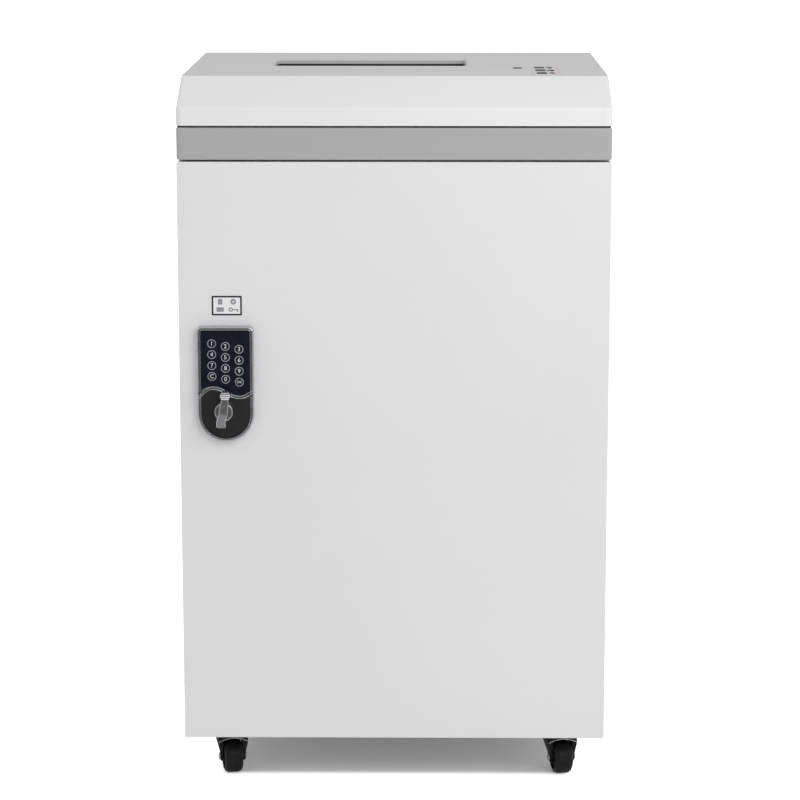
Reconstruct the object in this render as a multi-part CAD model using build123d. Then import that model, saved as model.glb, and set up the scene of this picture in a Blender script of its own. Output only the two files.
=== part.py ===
from build123d import *
import os
from math import acos, cos, degrees, pi, radians, sin, tan

# Multimedia shredder on four swivel casters: a folded steel cabinet with a full-size door and a
# keypad lock, a grey moulded band, and a sloping head with the feed slot over a geared cutting unit.
# Millimetres. +X is the machine's right side as seen from the front, -Y the front, +Z up.
# The origin is on the floor, under the middle of the whole machine's outline.

# Outline of the machine
WIDTH = 500.0
DEPTH = 460.0
CABINET_BOTTOM = 57.0
CABINET_HEIGHT = 689.0
SHADOW_GAP = 2.0
BAND_HEIGHT = 37.5
HEAD_FRONT_HEIGHT = 20.5
HEAD_RISE = 30.0
SLOPE_DEPTH = 80.0
KNOB_PROUD = 34.0
REAR_PROUD = 3.5

# Sheet metal
SHEET = 1.5
FLANGE = 20.0
BASE_LIP = 15.0
SIDE_PLAY = 0.1
EDGE_RADIUS = 2.5
DOOR_THICKNESS = 20.0
DOOR_GAP = 2.0
DOOR_CORNER_RADIUS = 3.0
DOOR_EDGE_RADIUS = 1.0
BRACKET_THICK = 3.0

# Moulded band and head
BAND_WALL = 3.0
BAND_FLANGE = 14.0
BAND_CORNER = 6.0
RING_CORNER = 1.0
SPIGOT_INSET = 5.0
SPIGOT_WIDTH = 6.0
HEAD_WALL = 3.0
HEAD_CORNER = 7.0
HEAD_CREASE_RADIUS = 4.0
TOP_PANEL_THICK = 3.0
TOP_PANEL_BORDER = 2.0
TOP_LEDGE = 7.0
PANEL_PLAY = 0.3

# Feed slot, its funnel and throat
FEED_X = -32.5
FEED_MOUTH_WIDTH = 236.0
FEED_MOUTH_FROM_BACK = 113.0
FEED_MOUTH_DEPTH = 112.0
MOUTH_CHAMFER = 2.2
COLLAR_DEPTH = 3.2
COLLAR_WALL = 2.0
MOUTH_CORNER = 4.0
THROAT_WALL = 2.0
THROAT_RIM = 8.0
THROAT_SLOT = 8.0
THROAT_WIDTH = 232.0
FUNNEL_DEPTH = 34.0
FUNNEL_UPRIGHT = 8.5
THROAT_OVER_NIP = 22.0
NIP_FROM_MOUTH_FRONT = 32.0

# Heights inside the cabinet
SHELF_DROP = 106.0
NIP_OVER_SHELF = 60.0
OVERCUT = 1.0

# Places that follow from the outline
FRONT = -(DEPTH + REAR_PROUD - KNOB_PROUD) / 2
BACK = FRONT + DEPTH
RIGHT = WIDTH / 2
CABINET_TOP = CABINET_BOTTOM + CABINET_HEIGHT
BAND_BOTTOM = CABINET_TOP + SHADOW_GAP
BAND_TOP = BAND_BOTTOM + BAND_HEIGHT
HEAD_BOTTOM = BAND_TOP + SHADOW_GAP
CREASE_Z = HEAD_BOTTOM + HEAD_FRONT_HEIGHT
TOP_Z = CREASE_Z + HEAD_RISE
MID_Y = (FRONT + BACK) / 2
DOOR_BACK = FRONT + DOOR_THICKNESS
CABINET_FRONT = DOOR_BACK + DOOR_GAP
INNER_WIDTH = WIDTH - 2 * (SHEET + SIDE_PLAY)
BASE_UNDERSIDE = CABINET_BOTTOM + SHEET
BASE_TOP = BASE_UNDERSIDE + SHEET
FLANGE_BACK_Y = CABINET_FRONT + SHEET
INNER_BACK = BACK - 2 * SHEET
MOUTH_FRONT_Y = BACK - FEED_MOUTH_FROM_BACK - FEED_MOUTH_DEPTH
MOUTH_Y = MOUTH_FRONT_Y + FEED_MOUTH_DEPTH / 2
NIP_Y = MOUTH_FRONT_Y + NIP_FROM_MOUTH_FRONT
SHELF_Z = CABINET_TOP - SHELF_DROP
NIP_Z = SHELF_Z + NIP_OVER_SHELF
PANEL_UNDERSIDE = TOP_Z - TOP_PANEL_THICK

parts = {}


def block(x0, x1, y0, y1, z0, z1):
    """A rectangular block between two opposite corners."""
    return Pos((x0 + x1) / 2, (y0 + y1) / 2, (z0 + z1) / 2) * Box(x1 - x0, y1 - y0, z1 - z0)


def rod_x(y, z, radius, x0, x1):
    """A round bar along X."""
    return Pos((x0 + x1) / 2, y, z) * Rot(0, 90, 0) * Cylinder(radius, x1 - x0)


def rod_y(x, z, radius, y0, y1):
    """A round bar along Y."""
    return Pos(x, (y0 + y1) / 2, z) * Rot(90, 0, 0) * Cylinder(radius, y1 - y0)


def rod_z(x, y, radius, z0, z1):
    """A round bar along Z."""
    return Pos(x, y, (z0 + z1) / 2) * Cylinder(radius, z1 - z0)


def front_view(sketch, x, y, z):
    """Stand a sketch up, seen from the front, with its origin at a place."""
    return Pos(x, y, z) * (Plane.XZ * sketch)


def side_view(sketch, x):
    """Stand a sketch of Y and Z up across the machine at x."""
    return Pos(x, 0, 0) * (Plane.YZ * sketch)


def pan(solid, wall, mouth):
    """A folded tray: the solid hollowed to a wall, open on the face furthest along mouth."""
    face = solid.faces().sort_by(mouth)[-1]
    return offset(solid, amount=-wall, openings=face)


# Side panels: one sheet each, folded inwards on all four sides
def side_panel(side):
    depth = BACK - SHEET - CABINET_FRONT
    sheet = Pos(side * (RIGHT - FLANGE / 2), CABINET_FRONT + depth / 2, CABINET_BOTTOM + CABINET_HEIGHT / 2)
    sheet *= Box(FLANGE, depth, CABINET_HEIGHT)
    outer = sheet.faces().sort_by(Axis.X)[0 if side < 0 else -1]
    sheet = fillet(outer.edges(), EDGE_RADIUS)
    return pan(sheet, SHEET, Axis((0, 0, 0), (-side, 0, 0)))


parts["cabinet_side_left"] = side_panel(-1)
parts["cabinet_side_right"] = side_panel(1)

# Casters: a square top plate with a pressed cup, riveted to a black fork that carries the wheel
CASTER_SIDE_INSET = 51.0
CASTER_FRONT_SETBACK = 58.0
CASTER_BACK_SETBACK = 70.0
CASTER_TRAIL = 14.0
CASTER_TURN = 11.0
CASTER_PLATE = 50.0
CASTER_PLATE_THICK = 2.5
CASTER_PLATE_CORNER = 4.0
CUP_RADIUS = 18.4
CUP_HEIGHT = 9.2
CUP_NECK_RADIUS = 14.7
CUP_SHOULDER = 5.0
KINGPIN_RADIUS = 4.0
KINGPIN_HEAD = 6.5
KINGPIN_HEAD_THICK = 1.3
FORK_PLATE = 2.8
FORK_PLAY = 0.3
FORK_WIDTH = 36.0
FORK_FOOT_WIDTH = 29.5
FORK_SHEET = 2.6
FORK_FOOT_RADIUS = 6.5
FORK_BEVEL = 3.0
FORK_SHOULDER = 9.0
FORK_KNEE_OVER_AXLE = 4.0
FORK_FRONT_REACH = 14.4
FORK_BACK_REACH = 20.4
FORK_BACK_DROP = 4.0
AXLE_HEAD = 1.2
CASTER_TOE_ANGLE = 40.0
WHEEL_RADIUS = 20.0
WHEEL_WIDTH = 22.5
TYRE_ROUND = 5.0
RIM_DEPTH = 5.5
WEB_RECESS = 3.0
HUB_RADIUS = 7.0
HUB_WIDTH = 23.8
AXLE_RADIUS = 3.0
PIN_PLAY = 0.05
CASTER_HOLE_SPACING = 38.0
CASTER_SCREW_RADIUS = 2.6

CASTER_X = RIGHT - CASTER_SIDE_INSET
CASTER_PLACES = {
    "front_left": (-CASTER_X, FRONT + CASTER_FRONT_SETBACK, CASTER_TURN),
    "front_right": (CASTER_X, FRONT + CASTER_FRONT_SETBACK, CASTER_TURN),
    "rear_left": (-CASTER_X, BACK - CASTER_BACK_SETBACK, -CASTER_TURN),
    "rear_right": (CASTER_X, BACK - CASTER_BACK_SETBACK, CASTER_TURN),
}
PLATE_BOTTOM = BASE_UNDERSIDE - CASTER_PLATE_THICK
CUP_BOTTOM = PLATE_BOTTOM - CUP_HEIGHT
FORK_TOP = CUP_BOTTOM - FORK_PLAY
FORK_PLATE_BOTTOM = FORK_TOP - FORK_PLATE
PIN_HEAD_TOP = FORK_PLATE_BOTTOM - FORK_PLAY


def caster_plate():
    """Plate, cup and kingpin of one caster, standing over the origin."""
    outline = RectangleRounded(CASTER_PLATE, CASTER_PLATE, CASTER_PLATE_CORNER)
    plate = extrude(Pos(0, 0, PLATE_BOTTOM) * outline, CASTER_PLATE_THICK)
    for hole in GridLocations(CASTER_HOLE_SPACING, CASTER_HOLE_SPACING, 2, 2):
        plate -= hole * rod_z(0, 0, CASTER_SCREW_RADIUS, PLATE_BOTTOM - OVERCUT, BASE_UNDERSIDE + OVERCUT)
    cup = Plane.XZ * make_face(
        Polyline(
            (0, PLATE_BOTTOM),
            (CUP_NECK_RADIUS, PLATE_BOTTOM),
            (CUP_RADIUS, PLATE_BOTTOM - CUP_SHOULDER),
            (CUP_RADIUS, CUP_BOTTOM),
            (0, CUP_BOTTOM),
            close=True,
        )
    )
    pin = rod_z(0, 0, KINGPIN_RADIUS, PIN_HEAD_TOP, CUP_BOTTOM)
    head = rod_z(0, 0, KINGPIN_HEAD, PIN_HEAD_TOP - KINGPIN_HEAD_THICK, PIN_HEAD_TOP)
    return plate + revolve(cup, Axis.Z) + pin + head


def caster_fork():
    """Pressed fork with two tapering legs round the wheel; the wheel trails towards -Y."""
    top = FORK_WIDTH / 2
    foot = FORK_FOOT_WIDTH / 2
    knee_z = WHEEL_RADIUS + FORK_KNEE_OVER_AXLE
    right = [
        (top - FORK_BEVEL, FORK_TOP),
        (top, FORK_TOP - FORK_BEVEL),
        (top, FORK_TOP - FORK_SHOULDER),
        (foot, knee_z),
        (foot, 0),
    ]
    left = [(-x, z) for x, z in reversed(right)]
    hood = extrude(Plane.XZ * make_face(Polyline(*right, *left, close=True)), 2 * CUP_RADIUS, both=True)
    inside = foot - FORK_SHEET
    hollow = block(-inside, inside, -3 * WHEEL_RADIUS, 3 * WHEEL_RADIUS, -OVERCUT, FORK_PLATE_BOTTOM)
    toe_z = WHEEL_RADIUS - FORK_FOOT_RADIUS * cos(radians(CASTER_TOE_ANGLE))
    toe = FORK_FOOT_RADIUS * sin(radians(CASTER_TOE_ANGLE))
    leg_side = Plane.YZ * make_face(
        Polyline(
            (FORK_FRONT_REACH, FORK_TOP),
            (FORK_FRONT_REACH, FORK_PLATE_BOTTOM),
            (-CASTER_TRAIL + FORK_FOOT_RADIUS, WHEEL_RADIUS),
            (-CASTER_TRAIL + toe, toe_z),
            (-CASTER_TRAIL - toe, toe_z),
            (-CASTER_TRAIL - FORK_FOOT_RADIUS, WHEEL_RADIUS),
            (-FORK_BACK_REACH, FORK_PLATE_BOTTOM - FORK_BACK_DROP),
            (-FORK_BACK_REACH, FORK_TOP - FORK_BACK_DROP),
            (-FORK_BACK_REACH + FORK_BACK_DROP, FORK_TOP),
            close=True,
        )
    )
    fork = (hood - hollow) & extrude(leg_side, FORK_WIDTH, both=True)
    fork -= rod_z(0, 0, KINGPIN_RADIUS + PIN_PLAY, FORK_PLATE_BOTTOM - OVERCUT, FORK_TOP + OVERCUT)
    fork -= rod_x(-CASTER_TRAIL, WHEEL_RADIUS, AXLE_RADIUS, -FORK_WIDTH, FORK_WIDTH)
    return fork


def caster_axle():
    """Riveted axle: a plain pin whose ends stand out of the legs."""
    half = FORK_FOOT_WIDTH / 2 + AXLE_HEAD
    return rod_x(-CASTER_TRAIL, WHEEL_RADIUS, AXLE_RADIUS, -half, half)


def caster_wheel():
    """Hard wheel with a rounded tread, a recessed web and a hub."""
    half = WHEEL_WIDTH / 2
    web = half - WEB_RECESS
    rim = WHEEL_RADIUS - RIM_DEPTH
    hub = HUB_WIDTH / 2
    bore = AXLE_RADIUS + PIN_PLAY
    right = [
        (bore, hub),
        (HUB_RADIUS, hub),
        (HUB_RADIUS, web),
        (rim, web),
        (WHEEL_RADIUS - TYRE_ROUND, half),
        (WHEEL_RADIUS - TYRE_ROUND / 3, half - TYRE_ROUND / 3),
        (WHEEL_RADIUS, half - TYRE_ROUND),
    ]
    left = [(r, -x) for r, x in reversed(right)]
    wheel = revolve(Plane.XZ * make_face(Polyline(*right, *left, close=True)), Axis.Z)
    return Pos(0, -CASTER_TRAIL, WHEEL_RADIUS) * Rot(0, 90, 0) * wheel


plates = []
for name, (x, y, turn) in CASTER_PLACES.items():
    plates.append(Pos(x, y, 0) * caster_plate())
    swivel = Pos(x, y, 0) * Rot(0, 0, turn)
    parts["caster_fork_" + name] = Compound([swivel * caster_fork(), swivel * caster_axle()])
    parts["caster_wheel_" + name] = swivel * caster_wheel()
parts["caster_plates"] = Compound(plates)

# Base: a tray on the side panels' bottom flanges, drilled for the casters
TRAY_FRONT = FLANGE_BACK_Y + BRACKET_THICK + SIDE_PLAY
TRAY_BACK = INNER_BACK - SIDE_PLAY
tray_depth = TRAY_BACK - TRAY_FRONT
tray_y = (TRAY_BACK + TRAY_FRONT) / 2
base = Pos(0, tray_y, BASE_UNDERSIDE + BASE_LIP / 2) * Box(INNER_WIDTH, tray_depth, BASE_LIP)
base = fillet(base.edges().filter_by(Axis.Z), EDGE_RADIUS)
base = fillet(base.faces().sort_by(Axis.Z)[0].edges(), EDGE_RADIUS - SIDE_PLAY)
base = pan(base, SHEET, Axis.Z)
for x, y, turn in CASTER_PLACES.values():
    for hole in GridLocations(CASTER_HOLE_SPACING, CASTER_HOLE_SPACING, 2, 2):
        base -= Pos(x, y, 0) * hole * rod_z(0, 0, CASTER_SCREW_RADIUS, CABINET_BOTTOM, BASE_TOP + OVERCUT)
parts["cabinet_base"] = base

# Engine shelf: a deep tray with a tall front wall, low lips at the sides and back, and the chute
SHELF_LIP = 20.0
SHELF_PLAY = 1.5
CHUTE_WIDTH = 240.0
CHUTE_DEPTH = 96.0
CHUTE_CORNER = 6.0
shelf_top = CABINET_TOP - SHEET - SHELF_PLAY
shelf_height = shelf_top - SHELF_Z + SHEET
shelf = Pos(0, tray_y, SHELF_Z - SHEET + shelf_height / 2) * Box(INNER_WIDTH, tray_depth, shelf_height)
shelf = fillet(shelf.edges().filter_by(Axis.Z), EDGE_RADIUS)
shelf = fillet(shelf.faces().sort_by(Axis.Z)[0].edges(), EDGE_RADIUS - SIDE_PLAY)
shelf = pan(shelf, SHEET, Axis.Z)
shelf -= block(-WIDTH, WIDTH, TRAY_FRONT + SHEET, BACK, SHELF_Z + SHELF_LIP, CABINET_TOP)
chute = Pos(FEED_X, NIP_Y, SHELF_Z - SHEET / 2) * Box(CHUTE_WIDTH, CHUTE_DEPTH, 4 * SHEET)
shelf -= fillet(chute.edges().filter_by(Axis.Z), CHUTE_CORNER)
parts["cabinet_shelf"] = shelf

# Back panel: a flat sheet over the side panels' rear flanges, with louvred vents and the mains cut-out
MAINS_SIDE_INSET = 75.0
MAINS_DROP = 56.0
MAINS_X = RIGHT - MAINS_SIDE_INSET
MAINS_Z = CABINET_TOP - MAINS_DROP
MAINS_WIDTH = 48.0
MAINS_HEIGHT = 58.0
MAINS_CORNER = 3.0
VENT_LENGTH = 110.0
VENT_HEIGHT = 4.0
VENT_PITCH = 11.0
VENT_ROWS = 6
VENT_COLUMNS = 2
VENT_COLUMN_PITCH = 140.0
VENT_SIDE_INSET = 165.0
VENT_X = VENT_SIDE_INSET - RIGHT
VENT_Z = MAINS_Z
mains_hole = RectangleRounded(MAINS_WIDTH, MAINS_HEIGHT, MAINS_CORNER)
back_outline = Pos(0, CABINET_BOTTOM + CABINET_HEIGHT / 2) * Rectangle(WIDTH, CABINET_HEIGHT)
back_outline -= Pos(MAINS_X, MAINS_Z) * mains_hole
vent = SlotOverall(VENT_LENGTH, VENT_HEIGHT)
for place in GridLocations(VENT_COLUMN_PITCH, VENT_PITCH, VENT_COLUMNS, VENT_ROWS):
    back_outline -= Pos(VENT_X, VENT_Z) * place * vent
parts["cabinet_back"] = extrude(front_view(back_outline, 0, BACK, 0), SHEET)

# Band: a moulded grey ring of channel section; its spigot drops onto the cabinet's top flanges
def ring(inset, width, z0, z1):
    """A rectangular ring that follows the machine's outline, inset by a distance."""
    corner = max(BAND_CORNER - inset, RING_CORNER)
    outer = RectangleRounded(WIDTH - 2 * inset, DEPTH - 2 * inset, corner)
    inner = RectangleRounded(WIDTH - 2 * inset - 2 * width, DEPTH - 2 * inset - 2 * width, RING_CORNER)
    return extrude(Pos(0, MID_Y, z0) * (outer - inner), z1 - z0)


def soft_edges(solid, radius):
    """Round the outermost top and bottom edges of a ring."""
    rims = [solid.faces().sort_by(Axis.Z)[i].outer_wire().edges() for i in (0, -1)]
    return fillet(rims[0] + rims[1], radius)


band = soft_edges(ring(0, BAND_FLANGE, BAND_BOTTOM, BAND_TOP), EDGE_RADIUS)
band -= ring(BAND_WALL, BAND_FLANGE, BAND_BOTTOM + BAND_WALL, BAND_TOP - BAND_WALL)
band += ring(SPIGOT_INSET, SPIGOT_WIDTH, CABINET_TOP, BAND_BOTTOM)
band -= block(-WIDTH, WIDTH, FRONT - OVERCUT, CABINET_FRONT, CABINET_TOP - OVERCUT, BAND_BOTTOM)
parts["band_frame"] = band

# Head cover: a moulded shell, upright in front, then sloping back to a flat top
head_side = Plane.YZ * make_face(
    Polyline(
        (FRONT, HEAD_BOTTOM),
        (FRONT, CREASE_Z),
        (FRONT + SLOPE_DEPTH, TOP_Z),
        (BACK, TOP_Z),
        (BACK, HEAD_BOTTOM),
        close=True,
    )
)
head = extrude(head_side, RIGHT, both=True)
head = fillet(head.edges().filter_by(Axis.Z), HEAD_CORNER)
crease = head.edges().filter_by(Axis.X).sort_by(Axis.Y)
head = fillet([edge for edge in crease if abs(edge.center().Z - CREASE_Z) < SHEET], HEAD_CREASE_RADIUS)
head = pan(head, HEAD_WALL, Axis((0, 0, 0), (0, 0, -1)))
head += ring(SPIGOT_INSET, SPIGOT_WIDTH, BAND_TOP, HEAD_BOTTOM + HEAD_WALL)
foot_inset = HEAD_WALL - OVERCUT
head += ring(foot_inset, SPIGOT_INSET + SPIGOT_WIDTH - foot_inset, HEAD_BOTTOM, HEAD_BOTTOM + HEAD_WALL)

PANEL_X = RIGHT - TOP_PANEL_BORDER
PANEL_FRONT = FRONT + SLOPE_DEPTH + TOP_PANEL_BORDER / 2
PANEL_BACK = BACK - TOP_PANEL_BORDER
PANEL_Y = (PANEL_FRONT + PANEL_BACK) / 2
PANEL_CORNER = 5.0
panel_opening = RectangleRounded(2 * PANEL_X, PANEL_BACK - PANEL_FRONT, PANEL_CORNER)
LEDGE_BACK = BACK - HEAD_WALL + OVERCUT
LEDGE_FRONT = PANEL_FRONT - TOP_LEDGE / 2
ledge_outline = Pos(0, (LEDGE_FRONT + LEDGE_BACK) / 2)
ledge_outline *= RectangleRounded(WIDTH - 2 * (HEAD_WALL - OVERCUT), LEDGE_BACK - LEDGE_FRONT, PANEL_CORNER)
opening_length = PANEL_BACK - PANEL_FRONT - 2 * TOP_LEDGE
ledge_opening = RectangleRounded(2 * (PANEL_X - TOP_LEDGE), opening_length, PANEL_CORNER)
head += extrude(Pos(0, 0, PANEL_UNDERSIDE - HEAD_WALL) * ledge_outline, HEAD_WALL)
head -= extrude(Pos(0, PANEL_Y, PANEL_UNDERSIDE) * panel_opening, 2 * TOP_PANEL_THICK)
head -= extrude(Pos(0, PANEL_Y, PANEL_UNDERSIDE - 2 * HEAD_WALL) * ledge_opening, 3 * HEAD_WALL)
parts["head_cover"] = head

# Top panel: a plate let into the head, pierced for the feed mouth and the controls
CONTROL_SIDE_INSET = 71.5
CONTROL_X = RIGHT - CONTROL_SIDE_INSET
CONTROL_FRONT = 104.0
CONTROL_WIDTH = 32.0
CONTROL_LENGTH = 118.0
CONTROL_CORNER = 3.0
CONTROL_PLATE_THICK = 2.0
CONTROL_RIM = 3.0
CONTROL_Y = FRONT + CONTROL_FRONT + CONTROL_LENGTH / 2
POWER_BESIDE_CONTROLS = 31.7
POWER_BEHIND_CONTROLS = 36.0
POWER_X = CONTROL_X - POWER_BESIDE_CONTROLS
POWER_Y = CONTROL_Y + POWER_BEHIND_CONTROLS
POWER_RADIUS = 5.0
POWER_RING_RADIUS = 7.0
POWER_RING_DEPTH = 1.0
BUTTON_PLAY = 0.15
panel_width = 2 * (PANEL_X - PANEL_PLAY)
panel_length = PANEL_BACK - PANEL_FRONT - 2 * PANEL_PLAY
panel_plate = RectangleRounded(panel_width, panel_length, PANEL_CORNER - PANEL_PLAY)
top_panel = extrude(Pos(0, PANEL_Y, PANEL_UNDERSIDE) * panel_plate, TOP_PANEL_THICK)
COLLAR_BOTTOM = PANEL_UNDERSIDE - COLLAR_DEPTH
collar_depth = FEED_MOUTH_DEPTH + 2 * COLLAR_WALL
collar = RectangleRounded(FEED_MOUTH_WIDTH + 2 * COLLAR_WALL, collar_depth, MOUTH_CORNER)
top_panel += extrude(Pos(FEED_X, MOUTH_Y, COLLAR_BOTTOM) * collar, COLLAR_DEPTH)
mouth = RectangleRounded(FEED_MOUTH_WIDTH, FEED_MOUTH_DEPTH, MOUTH_CORNER)
top_panel -= extrude(Pos(FEED_X, MOUTH_Y, COLLAR_BOTTOM) * mouth, COLLAR_DEPTH + TOP_PANEL_THICK)
mouth_rim = top_panel.faces().sort_by(Axis.Z)[-1].inner_wires()[0].edges()
top_panel = chamfer(mouth_rim, MOUTH_CHAMFER)
plate_seat = RectangleRounded(CONTROL_WIDTH + 2 * PANEL_PLAY, CONTROL_LENGTH + 2 * PANEL_PLAY, CONTROL_CORNER)
hole_length = CONTROL_LENGTH - 2 * CONTROL_RIM
plate_hole = RectangleRounded(CONTROL_WIDTH - 2 * CONTROL_RIM, hole_length, CONTROL_CORNER)
top_panel -= extrude(Pos(CONTROL_X, CONTROL_Y, TOP_Z - CONTROL_PLATE_THICK) * plate_seat, TOP_PANEL_THICK)
top_panel -= extrude(Pos(CONTROL_X, CONTROL_Y, TOP_Z - 2 * TOP_PANEL_THICK) * plate_hole, 3 * TOP_PANEL_THICK)
power_hole = POWER_RADIUS + BUTTON_PLAY
top_panel -= rod_z(POWER_X, POWER_Y, power_hole, PANEL_UNDERSIDE - OVERCUT, TOP_Z + OVERCUT)
top_panel -= rod_z(POWER_X, POWER_Y, POWER_RING_RADIUS, TOP_Z - POWER_RING_DEPTH, TOP_Z + OVERCUT)
parts["top_panel"] = top_panel

# Feed throat: a black funnel that hangs in the mouth and narrows to the slot over the rollers
THROAT_TOP = COLLAR_BOTTOM
FUNNEL_BOTTOM = THROAT_TOP - FUNNEL_DEPTH
THROAT_BOTTOM = NIP_Z + THROAT_OVER_NIP


def funnel_profile(wall, over):
    """Cross-section of the funnel and slot, grown by a wall and run past both ends by over."""
    front = MOUTH_FRONT_Y - wall
    back = MOUTH_FRONT_Y + FEED_MOUTH_DEPTH + wall
    half = THROAT_SLOT / 2 + wall
    return Plane.YZ * make_face(
        Polyline(
            (front, THROAT_TOP + over),
            (front, THROAT_TOP - FUNNEL_UPRIGHT),
            (NIP_Y - half, FUNNEL_BOTTOM),
            (NIP_Y - half, THROAT_BOTTOM - over),
            (NIP_Y + half, THROAT_BOTTOM - over),
            (NIP_Y + half, FUNNEL_BOTTOM),
            (back, THROAT_TOP - FUNNEL_UPRIGHT),
            (back, THROAT_TOP + over),
            close=True,
        )
    )


rim_sketch = RectangleRounded(THROAT_WIDTH + 2 * THROAT_RIM, FEED_MOUTH_DEPTH + 2 * THROAT_RIM, MOUTH_CORNER)
throat = extrude(funnel_profile(THROAT_WALL, 0), THROAT_WIDTH / 2 + THROAT_WALL, both=True)
throat = Pos(FEED_X, 0, 0) * throat
throat += extrude(Pos(FEED_X, MOUTH_Y, THROAT_TOP - THROAT_WALL) * rim_sketch, THROAT_WALL)
throat -= Pos(FEED_X, 0, 0) * extrude(funnel_profile(0, OVERCUT), THROAT_WIDTH / 2, both=True)
parts["feed_throat"] = throat

# Control plate with three push buttons, and the round power button beside it
BUTTON_PITCH = 41.0
BUTTON_WIDTH = 12.0
BUTTON_LENGTH = 18.0
BUTTON_CORNER = 2.0
BUTTON_EDGE = 0.6
BUTTON_X = CONTROL_X - 5.0
BUTTON_PROUD = 0.8
BUTTON_FLANGE = 1.2
BUTTON_FLANGE_THICK = 1.5
BUTTON_TRAVEL = 2.0
LAMP_X = CONTROL_X + 8.0
LAMP_AHEAD = 12.0
LAMP_RADIUS = 1.6
PLATE_BACK = TOP_Z - CONTROL_PLATE_THICK
BUTTON_SEAT = PLATE_BACK - BUTTON_PLAY
plate_outline = RectangleRounded(CONTROL_WIDTH, CONTROL_LENGTH, CONTROL_CORNER)
control_plate = extrude(Pos(CONTROL_X, CONTROL_Y, PLATE_BACK) * plate_outline, CONTROL_PLATE_THICK)


def button_outline(growth):
    """The outline of a push button, grown on each side."""
    return RectangleRounded(BUTTON_WIDTH + 2 * growth, BUTTON_LENGTH + 2 * growth, BUTTON_CORNER)


BUTTONS = {"reverse": -1, "stop": 0, "forward": 1}
for name, row in BUTTONS.items():
    y = CONTROL_Y + row * BUTTON_PITCH
    control_plate -= extrude(Pos(BUTTON_X, y, PLATE_BACK) * button_outline(BUTTON_PLAY), CONTROL_PLATE_THICK)
    control_plate -= rod_z(LAMP_X, y - LAMP_AHEAD, LAMP_RADIUS, PLATE_BACK - OVERCUT, TOP_Z + OVERCUT)
    cap = extrude(Pos(BUTTON_X, y, BUTTON_SEAT) * button_outline(0), TOP_Z + BUTTON_PROUD - BUTTON_SEAT)
    cap = fillet(cap.faces().sort_by(Axis.Z)[-1].edges(), BUTTON_EDGE)
    cap += extrude(Pos(BUTTON_X, y, BUTTON_SEAT) * button_outline(BUTTON_FLANGE), -BUTTON_FLANGE_THICK)
    parts["button_" + name] = cap
parts["control_plate"] = control_plate

POWER_SEAT = PANEL_UNDERSIDE - BUTTON_PLAY
power = rod_z(POWER_X, POWER_Y, POWER_RADIUS, POWER_SEAT, TOP_Z + BUTTON_PROUD)
power = fillet(power.faces().sort_by(Axis.Z)[-1].edges(), BUTTON_EDGE)
power += rod_z(POWER_X, POWER_Y, POWER_RADIUS + BUTTON_FLANGE, POWER_SEAT - BUTTON_FLANGE_THICK, POWER_SEAT)
parts["button_power"] = power

# Hinge: two steel tongues on the cabinet reach into the door's corners and carry its pins
HINGE_INSET = 4.5
HINGE_PIN_RADIUS = 3.0
TONGUE_THICK = 4.0
TONGUE_HALF_WIDTH = 4.4
TONGUE_PLAY = 0.3
TONGUE_PLATE = 14.0
NOTCH_PLAY = 1.0
BRACKET_HEIGHT = 40.0
BRACKET_SLIT = 0.01
BRACKET_RIGHT = RIGHT - SHEET - EDGE_RADIUS / 2
HINGE_X = RIGHT - HINGE_INSET
HINGE_Y = FRONT + DOOR_THICKNESS / 2
TOP_TONGUE = CABINET_TOP - SHEET - TONGUE_PLAY
BOTTOM_TONGUE = CABINET_BOTTOM + SHEET + TONGUE_PLAY


def hinge_bracket(tongue_face, away):
    """A tongue with its pin and the foot that is screwed behind the cabinet's front flange."""
    deep = tongue_face - away * TONGUE_THICK
    low, high = sorted((tongue_face, deep))
    tip = rod_z(HINGE_X, HINGE_Y, TONGUE_HALF_WIDTH, low, high)
    back = FLANGE_BACK_Y + BRACKET_THICK
    left, right = HINGE_X - TONGUE_HALF_WIDTH, HINGE_X + TONGUE_HALF_WIDTH
    tongue = tip + block(left, right, HINGE_Y, CABINET_FRONT, low, high)
    tongue += block(HINGE_X - TONGUE_PLATE, BRACKET_RIGHT, CABINET_FRONT - BRACKET_SLIT, back, low, high)
    foot_end = deep - away * BRACKET_HEIGHT
    foot_low, foot_high = sorted((deep, foot_end))
    tongue += block(HINGE_X - TONGUE_PLATE, BRACKET_RIGHT, FLANGE_BACK_Y, back, foot_low, foot_high)
    pin_low, pin_high = sorted((tongue_face, tongue_face + away * (TONGUE_PLAY + SHEET)))
    return tongue + rod_z(HINGE_X, HINGE_Y, HINGE_PIN_RADIUS, pin_low, pin_high)


brackets = [hinge_bracket(TOP_TONGUE, 1), hinge_bracket(BOTTOM_TONGUE, -1)]
for low, high in ((TOP_TONGUE - TONGUE_THICK, TOP_TONGUE), (BOTTOM_TONGUE, BOTTOM_TONGUE + TONGUE_THICK)):
    parts["cabinet_side_right"] -= block(
        HINGE_X - TONGUE_PLATE - PANEL_PLAY,
        BRACKET_RIGHT + PANEL_PLAY,
        CABINET_FRONT - OVERCUT,
        FLANGE_BACK_Y,
        low - PANEL_PLAY,
        high + PANEL_PLAY,
    )
parts["hinge_brackets"] = Compound(brackets)

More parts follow.
